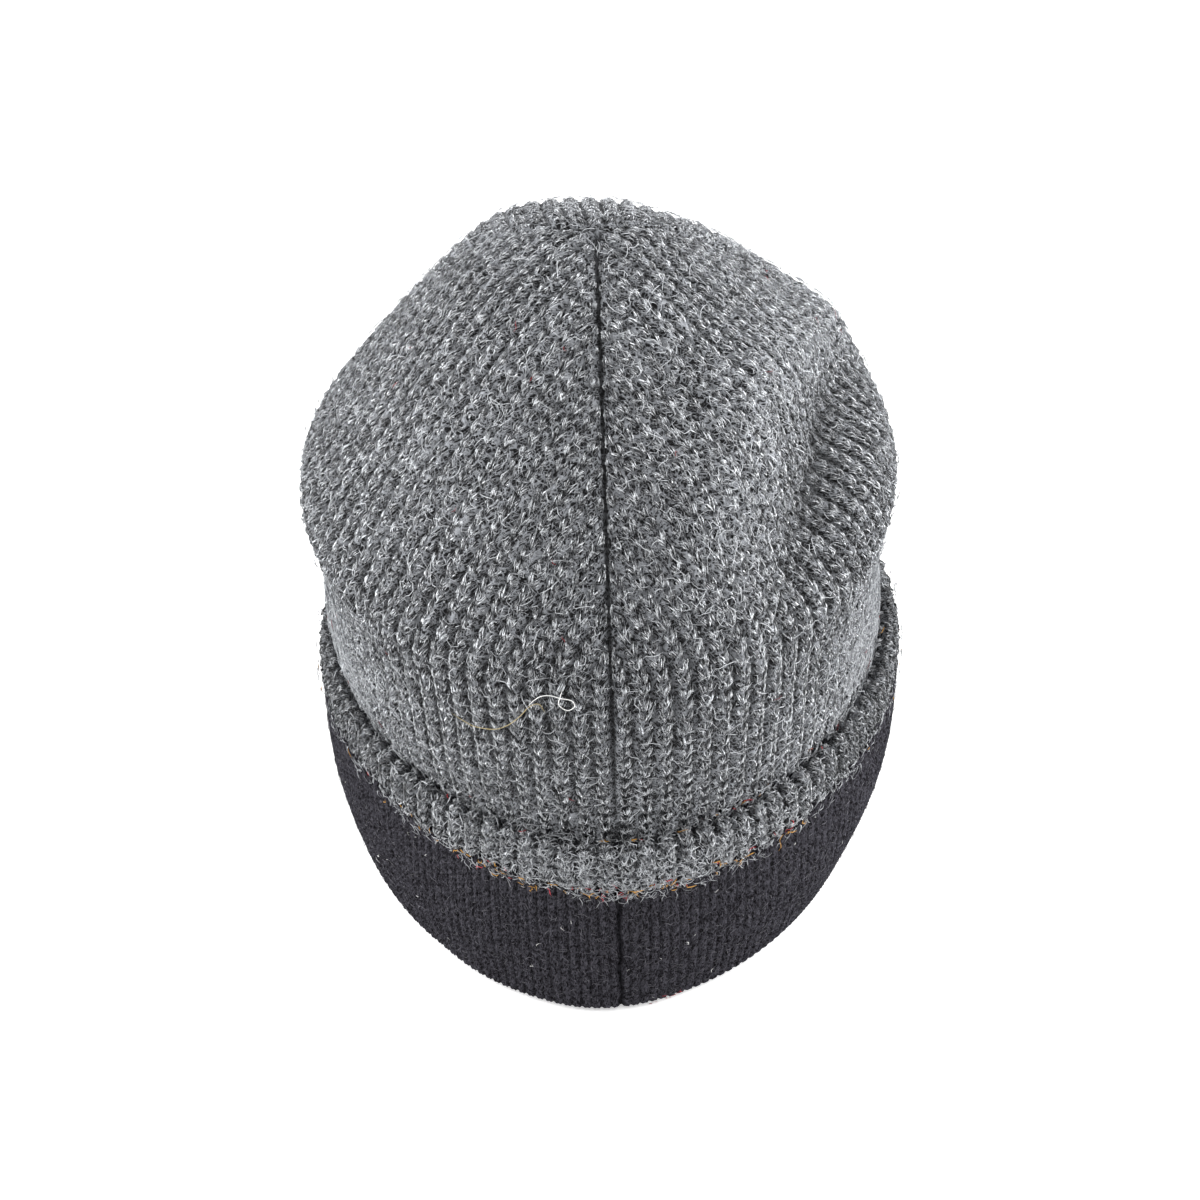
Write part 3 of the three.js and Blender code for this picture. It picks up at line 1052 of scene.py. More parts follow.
    def shell_rings(self, face: Face, rise: float, relief: Values,
                    groove: Values) -> tuple[Values, Values, Values]:
        """Rings of the shell: the face moved out by rise, less relief·sin²(π·offset/pitch) between the ribs.

        A seam's groove is groove·exp(-(gap / seam_reach)²), with gap the distance to the seam, and it takes
        the place of the valley. Its dark line follows exp(-(gap / seam_line)⁴).

        Args:
            face: the face that the rings follow.
            rise: how far they stand out.
            relief: depth of the valleys between ribs for each station.
            groove: depth of the seams' grooves for each station: column 0 the back seam, column 1 the darts.

        Returns:
            The rings' points, their yarn coordinates (rib number, travel, panel) and their tone.
        """
        points: list[Values] = []
        yarns: list[Values] = []
        tones: list[Values] = []
        inner = (np.arange(self.shell_columns) + 0.5) / self.shell_columns
        close = np.array(self.seam_columns)
        # Near the tip, where a panel is narrow, the seam's columns share out a quarter of it.
        narrow = np.arange(len(close)) / (8 * (len(close) - 1))
        for panel in range(PANELS):
            total = face.lengths[:, panel, -1:]
            near = np.minimum(close, total * narrow)
            edge = near[:, -1:] + self.seam_margin
            middle = np.where(total > 10 * self.seam_margin, edge + inner * (total - 2 * edge), inner * total)
            lengths = np.sort(np.concatenate([near, middle, total - near[:, :0:-1]], axis=1), axis=1)
            columns = face.columns_at(panel, lengths)
            offset = lengths - total / 2
            pitch = np.maximum(self.shell_pitch, total / self.ribs_in_panel)
            from_seam = total / 2 - np.abs(offset)
            at_back = (offset < 0) if panel == 0 else (offset > 0) & (panel == PANELS - 1)
            depth = np.where(at_back, groove[:, :1], groove[:, 1:])
            open_share = depth / self.seam_groove
            seam = np.exp(-((from_seam / self.seam_reach) ** 2))
            valley = np.sin(np.pi * offset / pitch) ** 2 * relief[:, None] * (1 - seam * open_share)
            height = rise - valley - depth * seam
            centre = face.take(face.points, columns)
            points.append(centre + unit(face.take(face.out, columns)) * height[..., None])
            travel = np.cumsum(np.linalg.norm(np.diff(centre, axis=0, prepend=centre[:1]), axis=-1), axis=0)
            yarns.append(np.stack([offset / pitch, travel, 0 * offset + panel * PANEL_SEED], axis=-1))
            # The tone carries the face's painted light and shade, and painted shade in the valleys between ribs.
            lighter = np.exp(face.take(face.shade[..., None], columns)[..., 0])
            line = np.exp(-((from_seam / self.seam_line) ** 4)) * open_share
            sunk = np.clip(valley, 0, None) / self.ground_relief
            tones.append(lighter * (1 - self.seam_shade * line) * (1 - self.valley_shade * sunk))
        points_all, yarns_all, tones_all = (np.concatenate(rows, axis=1) for rows in (points, yarns, tones))
        return points_all, yarns_all, tones_all

    def build(self, cuff: "Cuff", rng: np.random.Generator) -> tuple[Face, list[bpy.types.Object]]:
        """Builds the shell and the stitches.

        Args:
            cuff: the cuff, behind which the crown's foot hangs.
            rng: source of unevenness.

        Returns:
            The crown's face and its pieces, the shell first.
        """
        face = self.face()
        stations = np.arange(0, len(face.points) - 1, self.stations_in_ring)
        coarse = Face(face.points[stations])
        coarse.shade = face.shade[stations]
        foot_levels = np.array(self.foot_levels)
        foot_out = Face(cuff.points(foot_levels, np.full(3, self.foot_depth)))
        foot_in = Face(cuff.points(foot_levels, np.full(3, self.foot_depth + self.wall)))
        grooves = self.seam_groove * self.seams(face)[stations]
        valleys = self.ground_relief * self.relief(face)[stations]
        ridges = np.full(len(stations), -self.lining_ridge)
        outer, outer_yarn, tones = self.shell_rings(coarse, -self.ground_depth, valleys, grooves)
        inner, inner_yarn, _ = self.shell_rings(coarse, -self.wall, ridges, 0 * grooves)
        low_out, low_out_yarn, _ = self.shell_rings(foot_out, 0.0, np.zeros(3), np.zeros((3, 2)))
        low_in, low_in_yarn, _ = self.shell_rings(foot_in, 0.0, ridges[:3], np.zeros((3, 2)))
        rings = np.concatenate([low_out, outer])
        linings = np.concatenate([low_in, inner])
        columns = rings.shape[1]
        tip = rings[-1].mean(axis=0) + UP * self.tip_rise
        lining_tip = linings[-1].mean(axis=0) + UP * self.lining_tip_rise
        points = np.concatenate([rings.reshape(-1, 3), linings.reshape(-1, 3), [tip, lining_tip]])
        walls = ring_faces(len(rings), columns, closed=False)
        inner_start = len(rings) * columns
        lining_walls = ring_faces(len(linings), columns, closed=False)[:, ::-1] + inner_start
        i = np.arange(columns)
        after = (i + 1) % columns
        bottom = np.stack([after, i, inner_start + i, inner_start + after], axis=-1)
        top_ring = inner_start - columns
        lining_ring = 2 * inner_start - columns
        cap = np.stack([top_ring + i, top_ring + after, np.full(columns, 2 * inner_start)], axis=-1)
        lining_end = np.full(columns, 2 * inner_start + 1)
        lining_cap = np.stack([lining_ring + after, lining_ring + i, lining_end], axis=-1)
        flip = [faces[:, ::-1] for faces in (walls, lining_walls, bottom, cap, lining_cap)]
        shell = new_piece("crown_shell", points, flip, GREY_GROUND.material())
        yarn = np.concatenate([low_out_yarn, outer_yarn, low_in_yarn, inner_yarn]).reshape(-1, 3)
        lining_tone = np.full(inner_start, self.lining_tone)
        tone = np.concatenate([np.ones(3 * columns), tones.ravel(), lining_tone, [1.0, self.lining_tone]])
        set_attributes(shell, np.concatenate([yarn, np.zeros((2, 3))]), tone)
        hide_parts("crown")

        ribs = self.ribs(face)
        start = self.first_stitch_z - CROWN_SECTIONS[0].z
        wool = GREY_HEATHER.material()
        pieces = [shell]
        for panel, place in enumerate(("left back", "front", "right back")):
            chosen = ribs_between(ribs, panel * self.ribs_in_panel, (panel + 1) * self.ribs_in_panel)
            legs = knit_legs(chosen, self.stitch, rng, start, math.inf)
            pieces.append(strands_piece(f"crown_stitches_{place.replace(' ', '_')}", legs, wool))
        return face, pieces


@dataclass(frozen=True)
class Cuff:
    """The folded cuff: a fine black band standing on its hem, and a thick grey ribbed welt along its top.

    Sizes are in millimetres. Depths run inwards from the cuff's outer face. Shades are shares of lightness
    that loops add as painted light and that wales and the core's valleys take away as painted shade, and that
    the seam takes away for its dark line; for the sides they are natural logarithms of painted shade.
    """

    # The band's outline, with the hem folded in under it.
    band_top: float = 55.0
    band_wall: float = 4.2
    hem_inner_depth: float = 8.7
    hem_floor: float = 4.0
    hem_rounding: float = 2.6
    hem_slope: float = 1.3
    hidden_level: float = 26.0
    # The band's knit: wales side by side, and loops one above the other in courses.
    wales_in_panel: int = 62
    samples_in_wale: int = 4
    band_course: float = 2.1
    samples_in_course: int = 3
    loop_height: float = 0.34
    loop_slant: float = 2.2
    # loop_shade is painted light on the loops and wale_shade painted shade in the wales' valleys.
    loop_shade: float = 0.12
    wale_depth: float = 0.6
    wale_shade: float = 0.42
    band_tone: float = 1.12
    # band_side_shade is painted shade towards the band's sides.
    band_side_shade: float = 0.34
    # The band's back seam, which swings from side to side in waves of these swings and stretches.
    band_seam: float = 0.9
    band_seam_depth: float = 1.2
    band_seam_shade: float = 0.62
    band_seam_waves: tuple[tuple[float, float], ...] = ((0.5, 3.1), (0.3, 1.3))
    # The welt's outline and the ribs that stand on it.
    welt_foot: float = 55.3
    welt_height: float = 16.2
    welt_thickness: float = 8.4
    welt_middle: float = 3.7
    welt_bulge: float = 0.2
    welt_ribs_in_panel: int = 31
    welt_seam: float = 0.15
    # welt_side_shade is painted shade towards the welt's sides.
    welt_side_shade: float = 0.55
    # The core inside the welt's stitches.
    core_inset: float = 0.75
    core_valley: float = 1.8
    core_tone: float = 1.15
    # core_shade is painted shade in the core's valleys between ribs.
    core_shade: float = 0.7
    core_row: float = 1.5
    # The welt's stitches, from their first travel up the outside to their last down the inside.
    first_travel: float = -0.5
    last_travel: float = 24.0
    welt_stitch: Stitch = Stitch(course=3.8, strand=0.42, valley=3.0, seam_gap=0.4, seam_depth=0.8)

    def points(self, z: Values, depth: Values) -> Values:
        """Points of the cuff's face, moved inwards along the level normal.

        Args:
            z: heights, (stations,).
            depth: how far each station lies inside the face, (stations,).

        Returns:
            The points, (stations, turns, 3).
        """
        rows = table_of(CUFF_SECTIONS)
        smooth = smooth_rows(rows[:, 0], rows, np.clip(z, rows[0, 0], rows[-1, 0]))
        smooth[:, 0] = z
        points = section_points(smooth, TURNS)
        ahead = np.roll(points, -1, axis=1) - np.roll(points, 1, axis=1)
        out = unit(np.cross(UP, ahead))
        rise = fold_rise(points, (PUSHED_HEM,), CUFF_SECTIONS)
        return points + out * (rise - depth[:, None])[..., None]

    def band_profile(self) -> tuple[Values, Values, Values]:
        """The band's closed outline, from the hem's inner foot up the outside and down behind.

        Returns:
            Heights, depths and the share of the knit's relief that shows at each station.
        """
        bend = np.linspace(0, np.pi / 2, 6)[1:-1]
        rounding = self.hem_rounding
        courses = int(round((self.band_top - rounding) / self.band_course))
        rise = np.linspace(rounding, self.band_top, courses * self.samples_in_course + 1)
        z = np.concatenate([[0.0, 0.0], rounding * (1 - np.cos(bend)), rise])
        sole = [self.hem_inner_depth - self.hem_slope, rounding]
        depth = np.concatenate([sole, rounding * (1 - np.sin(bend)), 0 * rise])
        relief = np.concatenate([[0.0, 0.1], 0.2 + 0.8 * bend / (np.pi / 2), 0 * rise + 1])
        hidden_z = [self.band_top, self.hidden_level, self.hem_floor, self.hem_floor, self.hem_slope]
        hidden_depth = [self.band_wall] * 3 + [self.hem_inner_depth] * 2
        z = np.concatenate([z, hidden_z])
        depth = np.concatenate([depth, hidden_depth])
        return z, depth, np.concatenate([relief, np.zeros(len(hidden_z))])

    def build_band(self) -> tuple[Face, bpy.types.Object]:
        """Builds the black band as one closed knitted surface.

        Its height over the plain band is relief·(loop_height·cos(2π(course - loop_slant·|x|)) -
        wale_depth·(2|x|)⁴ - depth·exp(-(gap / band_seam)²)), with x the place across a wale from -1/2 to 1/2
        and gap the distance to the back seam, which wanders a little from side to side.

        Returns:
            The band's face and its piece.
        """
        z, depth, relief = self.band_profile()
        face = Face(self.points(z, depth))
        per_panel = self.wales_in_panel * self.samples_in_wale
        share = np.arange(per_panel) / per_panel
        travel = np.concatenate([[0], np.cumsum(np.hypot(np.diff(z), np.diff(depth)))])
        course = travel[:, None] / self.band_course
        up = travel[:, None]
        wander = sum(swing * np.sin(up / stretch) for swing, stretch in self.band_seam_waves)
        points: list[Values] = []
        yarns: list[Values] = []
        tones: list[Values] = []
        for panel in range(PANELS):
            total = face.lengths[:, panel, -1:]
            columns = face.columns_at(panel, share * total)
            across = (share * self.wales_in_panel) % 1 - 0.5
            chevron = np.cos(2 * np.pi * (course - self.loop_slant * np.abs(across)))
            valley = (2 * np.abs(across)) ** 4
            knit = self.loop_height * chevron - self.wale_depth * valley
            from_back = {0: share * total, PANELS - 1: (share - 1) * total}.get(panel, np.inf * total)
            seam = np.exp(-(((from_back - wander) / self.band_seam) ** 2))
            height = (knit - self.band_seam_depth * seam) * relief[:, None]
            out = unit(face.take(face.out, columns))
            points.append(face.take(face.points, columns) + out * height[..., None])
            yarns.append(np.stack([share * total, up + 0 * columns, 0 * columns + panel], axis=-1))
            # Painted light on the loops and painted shade in the wales' valleys.
            tone = self.band_tone - self.wale_shade * valley + self.loop_shade * chevron
            tones.append(tone * (1 - self.band_seam_shade * seam))
        grid = np.concatenate(points, axis=1)
        grid[..., 2] = np.maximum(grid[..., 2], 0.0)
        faces = ring_faces(len(grid), grid.shape[1], closed=True)[:, ::-1]
        band = new_piece("cuff_band_knit", grid.reshape(-1, 3), [faces], BLACK_WOOL.material())
        yarn = np.concatenate(yarns, axis=1).reshape(-1, 3)
        turn = np.arctan2(grid[..., 0], grid[..., 1])
        # Painted shade towards the band's sides.
        tone = np.concatenate(tones, axis=1) * np.exp(-self.band_side_shade * np.sin(turn) ** 2)
        set_attributes(band, yarn, tone.ravel())
        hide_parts("cuff_band")
        return face, band

    def welt_face(self, inset: float) -> Face:
        """The welt's round-topped outline carried round the cuff, from its outer foot to its inner foot.

        Args:
            inset: how far the face lies inside the welt's own.

        Returns:
            The face: 9 stations up the outside, 13 over the round top and 9 down the inside.
        """
        half = self.welt_thickness / 2 - inset
        turn = np.linspace(0, np.pi, 15)[1:-1]
        shoulder = self.welt_foot + self.welt_height - half - inset
        up = np.linspace(0, 1, 9)
        rise = self.welt_foot + inset + up * (shoulder - self.welt_foot - inset)
        z = np.concatenate([rise, shoulder + half * np.sin(turn), rise[::-1]])
        outside = -half - self.welt_bulge * np.sin(np.pi * up)
        depth = self.welt_middle + np.concatenate([outside, -half * np.cos(turn), half + 0 * up])
        return Face(self.points(z, depth))

    def build_welt(self, rng: np.random.Generator) -> tuple[Face, list[bpy.types.Object]]:
        """Builds the welt's core and its stitches.

        The core lies core_inset inside the welt, less core_valley·cos²(π·place) between ribs, with place the
        number of ribs round from the back seam.

        Args:
            rng: source of unevenness.

        Returns:
            The welt's face and its pieces, the core first.
        """
        inner = self.welt_face(self.core_inset)
        ribs = PANELS * self.welt_ribs_in_panel
        place = np.arange(ribs * 4) / 4
        total = inner.lengths[:, :, -1].sum(axis=1, keepdims=True)
        panels = inner.lengths[:, :, -1:]
        lengths = inner.lengths[:, :, :-1] + np.cumsum(panels, axis=1) - panels
        ticks = np.arange(len(TURNS) + 1, dtype=float)
        around = np.concatenate([lengths.reshape(len(total), -1), total], axis=1)
        columns = np.stack([np.interp(place / ribs * edge[-1], edge, ticks) for edge in around])
        valley = np.cos(np.pi * place) ** 2
        sunk = self.core_valley * valley[:, None]
        points = inner.take(inner.points, columns) - unit(inner.take(inner.out, columns)) * sunk
        faces = ring_faces(points.shape[0], points.shape[1], closed=True)[:, ::-1]
        # The core wears the ground's painted shade.
        wool = GREY_GROUND.material()
        core = new_piece("cuff_welt_core", points.reshape(-1, 3), [faces], wool)
        rows = np.arange(points.shape[0])[:, None] * self.core_row
        yarn = np.stack([place + 0.5 + 0 * rows, rows + 0 * place, 0 * rows + 0 * place], axis=-1)
        turn = place / ribs * 2 * np.pi
        # Painted shade in the core's valleys and towards the welt's sides.
        tone = (self.core_tone - self.core_shade * valley) * np.exp(-self.welt_side_shade * np.sin(turn) ** 2)
        set_attributes(core, yarn.reshape(-1, 3), np.tile(tone, len(points)))
        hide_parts("cuff_welt")

        face = self.welt_face(0.0)
        # Painted shade towards the welt's sides, carried into the stitches' tone.
        face.shade = -self.welt_side_shade * np.sin(TURNS) ** 2 + np.zeros(face.shade.shape)
        none = np.zeros(len(face.points))
        seams = np.stack([none + self.welt_seam, none], axis=1)
        ribs = lay_ribs(face, self.welt_ribs_in_panel, none, seams, none + 1)
        legs = knit_legs(ribs, self.welt_stitch, rng, self.first_travel, self.last_travel)
        stitches = strands_piece("cuff_welt_stitches", legs, GREY_HEATHER.material())
        return face, [core, stitches]


@dataclass(frozen=True)
class Patch:
    """A stretch of a face, from a first to a last station, and a slot name, which is not used."""

    face: Face
    first: int
    last: int
    slot: str


@dataclass(frozen=True)
class LooseWool:
    """Loose fibres that cling to a face: arcs held at both ends, and some that stand free.

    Attributes:
        name: the piece's name.
        fibre: what they are made of.
        count: how many there are.
        length: least and most length.
        thickness: thickness of most of them.
        lift: height of their ends over the face.
        free_share: share of them that stand free.
        light: least and most lightness.
        bends: points between their ends.
        seam_clear: how close they come to the back seam.
        shade_gain: how much thicker they lie where the wool is painted lighter.
        turns: first and last turn, in degrees, where they lie.
        hump: height of an arc's middle over its ends.
        rise: how high a free fibre's end stands, as a share of its length.
        curl: spread of a fibre's turning along its length, in radians.
        wave: spread of its swing from side to side, likewise.
        unevenness: spread of the height.
        floor: lowest height over the table.
    """

    name: str
    fibre: Fibre
    count: int
    length: tuple[float, float]
    thickness: float
    lift: float
    free_share: float
    light: tuple[float, float]
    bends: int = 2
    seam_clear: float = 0.7
    shade_gain: float = 4.5
    turns: tuple[float, float] = (-180.0, 180.0)
    hump: float = 0.4
    rise: float = 0.16
    curl: float = 2.2
    wave: float = 0.9
    unevenness: float = 0.12
    floor: float = 0.4

    def build(self, patch: Patch, rng: np.random.Generator) -> bpy.types.Object:
        """Scatters the fibres over a patch: evenly, but more of them where the wool is painted lighter.

        Their number on a place goes with area·exp(shade_gain·shade). With t from 0 to 1 along a fibre, its
        direction turns by curl·t + wave·sin(2πt), and its height is lift + hump·sin(πt), or for a free one
        lift + rise·length·t^1.5.

        Args:
            patch: where they lie.
            rng: source of the scatter.

        Returns:
            The piece.
        """
        face, first, last = patch.face, patch.first, patch.last
        grid = face.points[first:last]
        step_up = np.linalg.norm(np.diff(grid, axis=0), axis=-1)
        step_on = np.linalg.norm(np.roll(grid, -1, axis=1) - grid, axis=-1)[:-1]
        turn = (np.degrees(TURNS) + 180) % 360 - 180
        chosen = (turn >= self.turns[0]) & (turn <= self.turns[1])
        fuzz = np.exp(face.shade[first : last - 1] * self.shade_gain)
        area = (step_up * step_on * chosen * fuzz).ravel()
        cell = rng.choice(len(area), self.count, p=area / area.sum())
        j, i = np.divmod(cell, grid.shape[1])
        share = rng.uniform(0, 1, (self.count, 2))
        after = (i + 1) % grid.shape[1]
        corner = grid[j, i]
        root = (
            corner
            + (grid[j + 1, i] - corner) * share[:, :1]
            + (grid[j, after] - corner) * share[:, 1:]
        )
        out = face.out[first:last][j, i]
        along = face.along[first:last][j, i]
        side = unit(np.cross(out, along))
        out = np.cross(along, side)
        t = np.linspace(0, 1, self.bends + 2)
        length = rng.uniform(*self.length, (self.count, 1))
        curl = rng.normal(0, self.curl, (self.count, 1))
        wave = rng.normal(0, self.wave, (self.count, 1))
        heading = rng.uniform(0, 2 * np.pi, (self.count, 1)) + curl * t + wave * np.sin(2 * np.pi * t)
        stride = length / (len(t) - 1)
        ahead = np.cumsum(np.cos(heading) * stride, axis=1)
        aside = np.cumsum(np.sin(heading) * stride, axis=1)
        free = rng.uniform(0, 1, (self.count, 1)) < self.free_share
        hump = np.where(free, t**1.5 * length * self.rise, np.sin(np.pi * t) * self.hump)
        height = self.lift + rng.normal(0, self.unevenness, (self.count, 1))
        height = height + hump * rng.uniform(0.4, 1, (self.count, 1))
        line = (
            root[:, None]
            + along[:, None] * ahead[..., None]
            + side[:, None] * aside[..., None]
            + out[:, None] * height[..., None]
        )
        taper = np.minimum(1.0, 4 * np.minimum(t, 1 - t))
        width = self.thickness * rng.uniform(0.7, 1.25, (self.count, 1)) * taper
        on_seam = (np.abs(line[..., 0]) < self.seam_clear).any(axis=1) & (line[:, 0, 1] > 0)
        line = line[~on_seam]
        line[..., 2] = np.maximum(line[..., 2], self.floor)
        outs = np.broadcast_to(out[~on_seam, None], line.shape)
        tone = rng.uniform(*self.light, len(line))
        width = width[~on_seam]
        seed = rng.uniform(0, SEED_SPREAD, (len(line), 2))
        strands = tube_strands(line, width, width, outs, STRAND_SIDES, tone, seed)
        return strands_piece(self.name, strands, self.fibre.value.material())


@dataclass(frozen=True)
class LoneHair:
    """One long fibre lying on a face, through places given as turn in degrees and height in millimetres."""

    name: str
    fibre: Fibre
    slot: str
    thickness: float
    lift: float
    places: tuple[tuple[float, float], ...]
    stations: int = 40
    taper_share: float = 0.1

    def build(self, face: Face) -> bpy.types.Object:
        """Lays the fibre on the face along a smooth curve through its places.

        Args:
            face: the face, whose points rise from station to station.

        Returns:
            The piece.
        """
        knots = np.arange(len(self.places), dtype=float)
        at = np.linspace(0, knots[-1], self.stations)
        turn, height = smooth_rows(knots, np.array(self.places, dtype=float), at).T
        columns = np.radians(turn) % (2 * np.pi) / (2 * np.pi) * face.points.shape[1]
        low = np.floor(columns).astype(int)
        share = (columns - low)[:, None]
        after = (low + 1) % face.points.shape[1]
        line = np.empty((self.stations, 3))
        out = np.empty((self.stations, 3))
        for i in range(self.stations):
            level = face.points[:, low[i], 2]
            row = np.interp(height[i], level, np.arange(len(level)))
            below = int(row)
            part = row - below
            for grid, found in ((face.points, line), (face.out, out)):
                here = grid[below] * (1 - part) + grid[below + 1] * part
                found[i] = here[low[i]] * (1 - share[i]) + here[after[i]] * share[i]
        line = line + unit(out) * self.lift
        from_end = np.minimum(at, knots[-1] - at) / knots[-1]
        width = self.thickness * np.minimum(1.0, from_end / self.taper_share)
        lone = (line[None], width[None], width[None], unit(out)[None])
        strands = tube_strands(*lone, STRAND_SIDES, np.ones(1), np.zeros((1, 2)))
        return strands_piece(self.name, strands, self.fibre.value.material())


WHITE_CURL = LoneHair(
    "white_curl", Fibre.WHITE, "grey_wool", 0.27, 0.9,
    ((15.5, 126.5), (13, 130.3), (11, 131.3), (9, 130.8), (7, 130.3), (6.6, 128.5), (8, 127.2), (9.4, 128.8),
     (9, 131.3), (8.6, 133.4)),
)
GOLDEN_ARC = LoneHair(
    "golden_arc", Fibre.GOLD, "grey_wool", 0.2, 0.8,
    ((32, 115.5), (29, 114.4), (27, 114.0), (23, 115.5), (20, 118.5), (17, 123.1), (15, 126.7), (13, 128.2),
     (12, 125.2)),
)


@dataclass(frozen=True)
class SoftLight:
    """A square soft light, with its place and size in metres and its power in watts."""

    name: str
    place: tuple[float, float, float]
    power: float
    size: float = 1.2

    def hang(self, aim: Vector) -> None:
        """Hangs the light.

        Args:
            aim: the place that it faces, in metres.
        """
        data = bpy.data.lights.new(self.name, "AREA")
        data.size = self.size
        data.energy = self.power
        light = bpy.data.objects.new(self.name, data)
        light.location = self.place
        light.rotation_euler = (aim - Vector(self.place)).to_track_quat("-Z", "Y").to_euler()
        bpy.context.scene.collection.objects.link(light)


LIGHTS = (
    SoftLight("left window", (1.3, -0.3, 0.3), 50.0),
    SoftLight("right window", (-1.3, -0.3, 0.3), 60.0),
    SoftLight("overhead cloth", (0.0, 0.2, 1.6), 21.0),
)


@dataclass(frozen=True)
class Studio:
    """A white light table, soft light from both sides and above, and the camera behind and above the hat.

    Scale is in pixels of the frame per millimetre at the aim point, which falls aim_right and aim_up pixels
    from the frame's middle. Elevation and roll are in degrees. The table's half side and drop are in metres.
    """

    elevation: float = 44.0
    distance: float = 1200.0
    aim_height: float = 95.0
    scale: float = 3.4
    frame_pixels: float = 1200.0
    aim_right: float = 7.0
    aim_up: float = 39.0
    roll: float = 1.9
    sensor: float = 36.0
    room_light: float = 0.42
    table_glow: float = 0.45
    table_half: float = 14.0
    table_drop: float = 0.0004

    def build(self, centre_shift: Values) -> None:
        """Makes the camera, table, lights and world.

        Args:
            centre_shift: how far the hat's own axis lies from the frame's, in x and y.
        """
        self.add_camera(centre_shift)
        self.add_table()
        for light in LIGHTS:
            light.hang(Vector((0.0, 0.0, 0.1)))
        world = bpy.data.worlds.new("white room")
        bpy.context.scene.world = world
        world.use_nodes = True
        tree = world.node_tree
        tree.nodes.clear()
        white = {"Color": (1, 1, 1, 1), "Strength": self.room_light}
        sky = add_node(tree, "ShaderNodeBackground", values=white)
        add_node(tree, "ShaderNodeOutputWorld", {"Surface": sky.outputs["Background"]})
        bpy.context.scene.view_settings.view_transform = "Standard"

    def add_camera(self, centre_shift: Values) -> None:
        """Aims the camera so that the hat's aim point falls where it does in the photograph.

        Args:
            centre_shift: how far the hat's own axis lies from the frame's, in x and y.
        """
        lift = math.radians(self.elevation)
        turn = math.radians(self.roll)
        back = Vector((0.0, math.cos(lift), math.sin(lift)))
        right = Vector((-1.0, 0.0, 0.0))
        up = Vector((0.0, -math.sin(lift), math.cos(lift)))
        rolled_right = right * math.cos(turn) - up * math.sin(turn)
        rolled_up = right * math.sin(turn) + up * math.cos(turn)
        aim = Vector((centre_shift[0], centre_shift[1], self.aim_height)) * MM
        data = bpy.data.cameras.new("camera")
        data.sensor_width = self.sensor
        data.lens = self.scale * self.distance / self.frame_pixels * self.sensor
        data.shift_x = -self.aim_right / self.frame_pixels
        data.shift_y = -self.aim_up / self.frame_pixels
        camera = bpy.data.objects.new("camera", data)
        bpy.context.scene.collection.objects.link(camera)
        turned = Matrix((rolled_right, rolled_up, back)).transposed().to_4x4()
        camera.matrix_world = Matrix.Translation(aim + back * self.distance * MM) @ turned
        bpy.context.scene.camera = camera

    def add_table(self) -> None:
        """Lays the light table just under the hem: milky acrylic that glows, so there is hardly a shadow."""
        mesh = bpy.data.meshes.new("floor")
        corners = [(-1, -1), (1, -1), (1, 1), (-1, 1)]
        places = [(x * self.table_half, y * self.table_half, -self.table_drop) for x, y in corners]
        mesh.from_pydata(places, [], [(0, 1, 2, 3)])
        material = bpy.data.materials.new("white light table")
        material.use_nodes = True
        shader = material.node_tree.nodes["Principled BSDF"]
        shader.inputs["Base Color"].default_value = linear("#f7f7f7")
        shader.inputs["Roughness"].default_value = 0.9
        shader.inputs["Emission Color"].default_value = linear("#ffffff")
        shader.inputs["Emission Strength"].default_value = self.table_glow
        mesh.materials.append(material)
        floor = bpy.data.objects.new("floor", mesh)
        bpy.context.scene.collection.objects.link(floor)


def hat_axis_shift() -> Values:
    """How far the hat's own axis lies from the frame's, read from where the crown's tip stands.

    Returns:
        The shift in millimetres, with nought for its height.
    """
    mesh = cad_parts["crown"].data
    places = np.empty(len(mesh.vertices) * 3, dtype=np.float32)
    mesh.vertices.foreach_get("co", places)
    places = places.reshape(-1, 3) / MM
    tip = places[np.argmax(places[:, 2])]
    return np.array([tip[0], tip[1] + CROWN_SECTIONS[-1].forward, 0.0])


def shift_pieces(pieces: list[bpy.types.Object], shift: Values) -> None:
    """Moves the pieces' points from the hat's own axis to the frame's."""
    for piece in pieces:
        piece.data.transform(Matrix.Translation(Vector(shift * MM)))


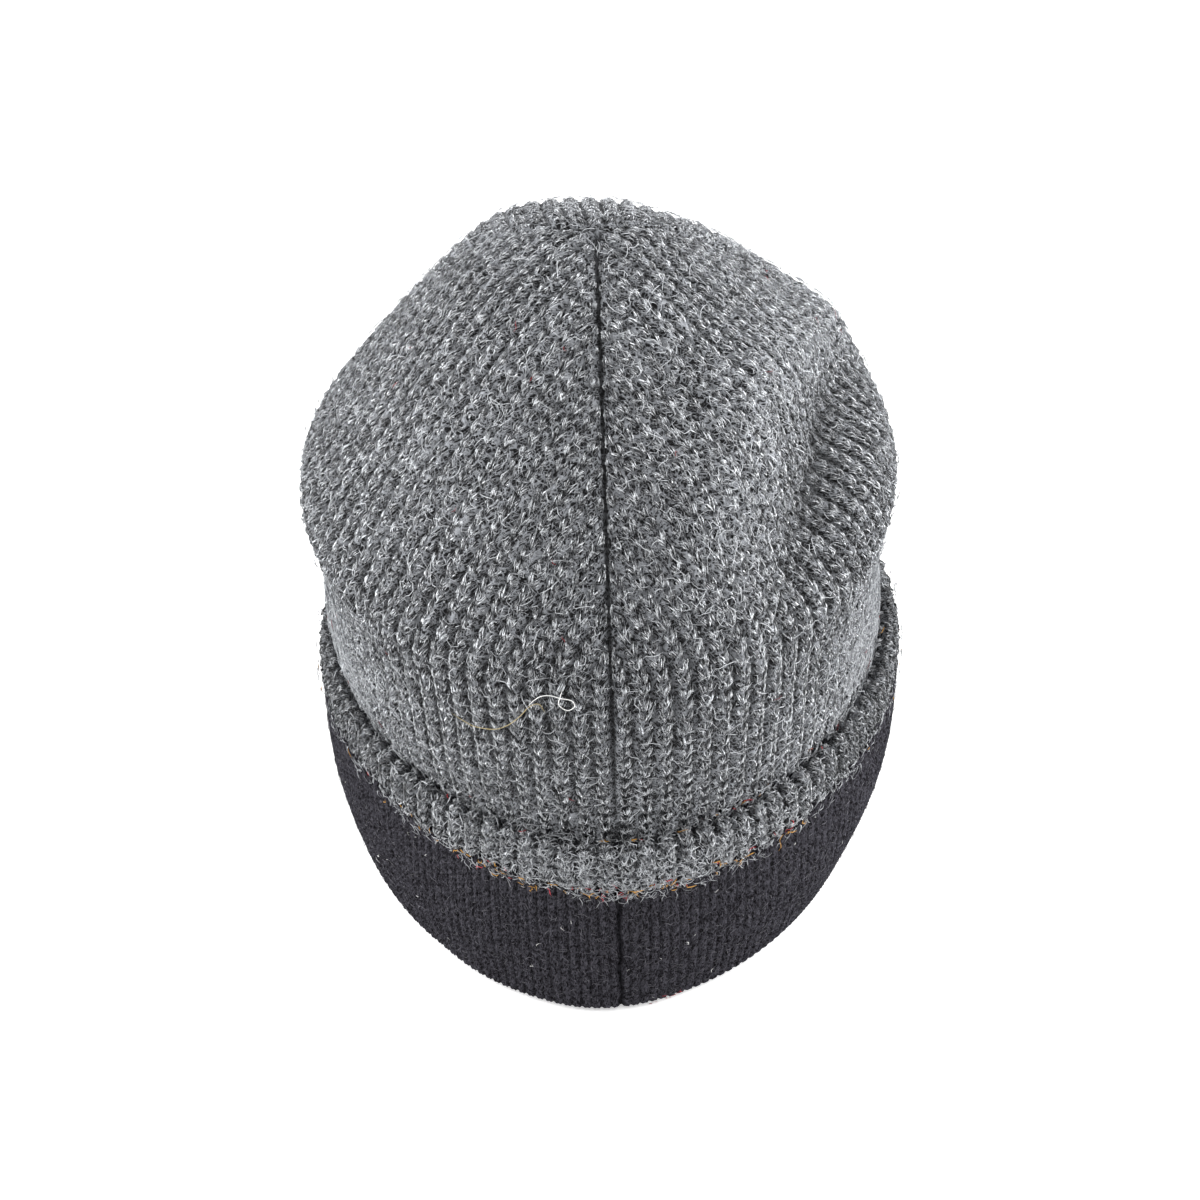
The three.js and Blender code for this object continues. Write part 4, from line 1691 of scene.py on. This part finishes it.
def loose_kinds(crown: Patch, welt: Patch, edge: Patch, crease: Patch, band: Patch,
                hem: Patch) -> list[tuple[LooseWool, Patch]]:
    """Every kind of loose wool on the hat and the patch where it lies.

    Args:
        crown: the crown above the welt.
        welt: the whole outside and top of the welt.
        edge: the welt's lower edge.
        crease: the line between the welt and the crown.
        band: the black band.
        hem: the bend at the band's foot.

    Returns:
        The kinds with their patches, in building order.
    """
    grey, dark, red, ochre, white = Fibre.GREY, Fibre.DARK, Fibre.RED, Fibre.YELLOW, Fibre.WHITE
    fine = (2.0, 5.0)
    over_seam = {"seam_clear": 0.0}
    at_seam = {"seam_clear": 0.0, "turns": (-2.0, 3.0)}
    beside_seam = {"seam_clear": 1.0, "turns": (-16.0, -5.0)}
    return [
        (LooseWool("crown_hairs", grey, 8000, fine, 0.2, 0.12, 0.02, (0.2, 0.9)), crown),
        (LooseWool("crown_hairs_long", grey, 3000, (5.0, 9.0), 0.18, 0.2, 0.03, (0.4, 1.0), bends=3), crown),
        (LooseWool("crown_red_hairs", red, 50, fine, 0.18, 0.3, 0.0, (0.3, 0.7)), crown),
        (LooseWool("welt_hairs", grey, 3000, fine, 0.24, 0.6, 0.15, (0.3, 0.9), **over_seam), welt),
        (LooseWool("welt_edge_hairs", grey, 900, (2.5, 6.0), 0.2, 0.3, 0.35, (0.2, 0.8), **over_seam), edge),
        (LooseWool("edge_ochre_hairs", ochre, 120, fine, 0.24, 0.5, 0.4, (0.6, 1.2)), edge),
        (LooseWool("edge_red_hairs", red, 36, fine, 0.24, 0.5, 0.4, (0.7, 1.2)), edge),
        (LooseWool("crease_ochre_hairs", ochre, 50, fine, 0.28, 0.7, 0.2, (0.6, 1.1)), crease),
        (LooseWool("crease_red_hairs", red, 40, fine, 0.28, 0.7, 0.2, (0.6, 1.1)), crease),
        (LooseWool("seam_red_hairs", red, 9, fine, 0.24, 0.5, 0.3, (0.5, 1.0), **at_seam), edge),
        (LooseWool("hem_red_hairs", red, 7, fine, 0.2, 0.2, 0.1, (0.5, 0.9), **beside_seam), hem),
        (LooseWool("band_hairs", dark, 2000, fine, 0.16, 0.05, 0.03, (0.2, 0.9)), band),
        (LooseWool("band_lint", white, 60, (0.8, 3.0), 0.2, 0.3, 0.1, (0.3, 0.8)), band),
    ]


def main() -> None:
    """Builds the hat piece by piece, then the studio."""
    logging.basicConfig(level=logging.INFO, format="%(message)s")
    rng = np.random.default_rng(93)
    shift = hat_axis_shift()
    cuff = Cuff()
    crown_face, crown = Crown().build(cuff, rng)
    band_face, band = cuff.build_band()
    welt_face, welt = cuff.build_welt(rng)
    kinds = loose_kinds(
        crown=Patch(crown_face, 6, len(crown_face.points) - 2, "grey_wool"),
        welt=Patch(welt_face, 1, 22, "welt_wool"),
        edge=Patch(welt_face, 0, 3, "welt_wool"),
        crease=Patch(welt_face, 16, 21, "welt_wool"),
        band=Patch(band_face, 9, len(band_face.points) - 6, "black_wool"),
        hem=Patch(band_face, 4, 9, "black_wool"),
    )
    hairs = [kind.build(patch, rng) for kind, patch in kinds]
    hairs += [hair.build(crown_face) for hair in (WHITE_CURL, GOLDEN_ARC)]
    shift_pieces([*crown, band, *welt, *hairs], shift)
    Studio().build(shift)


if __name__ == "__main__":
    main()
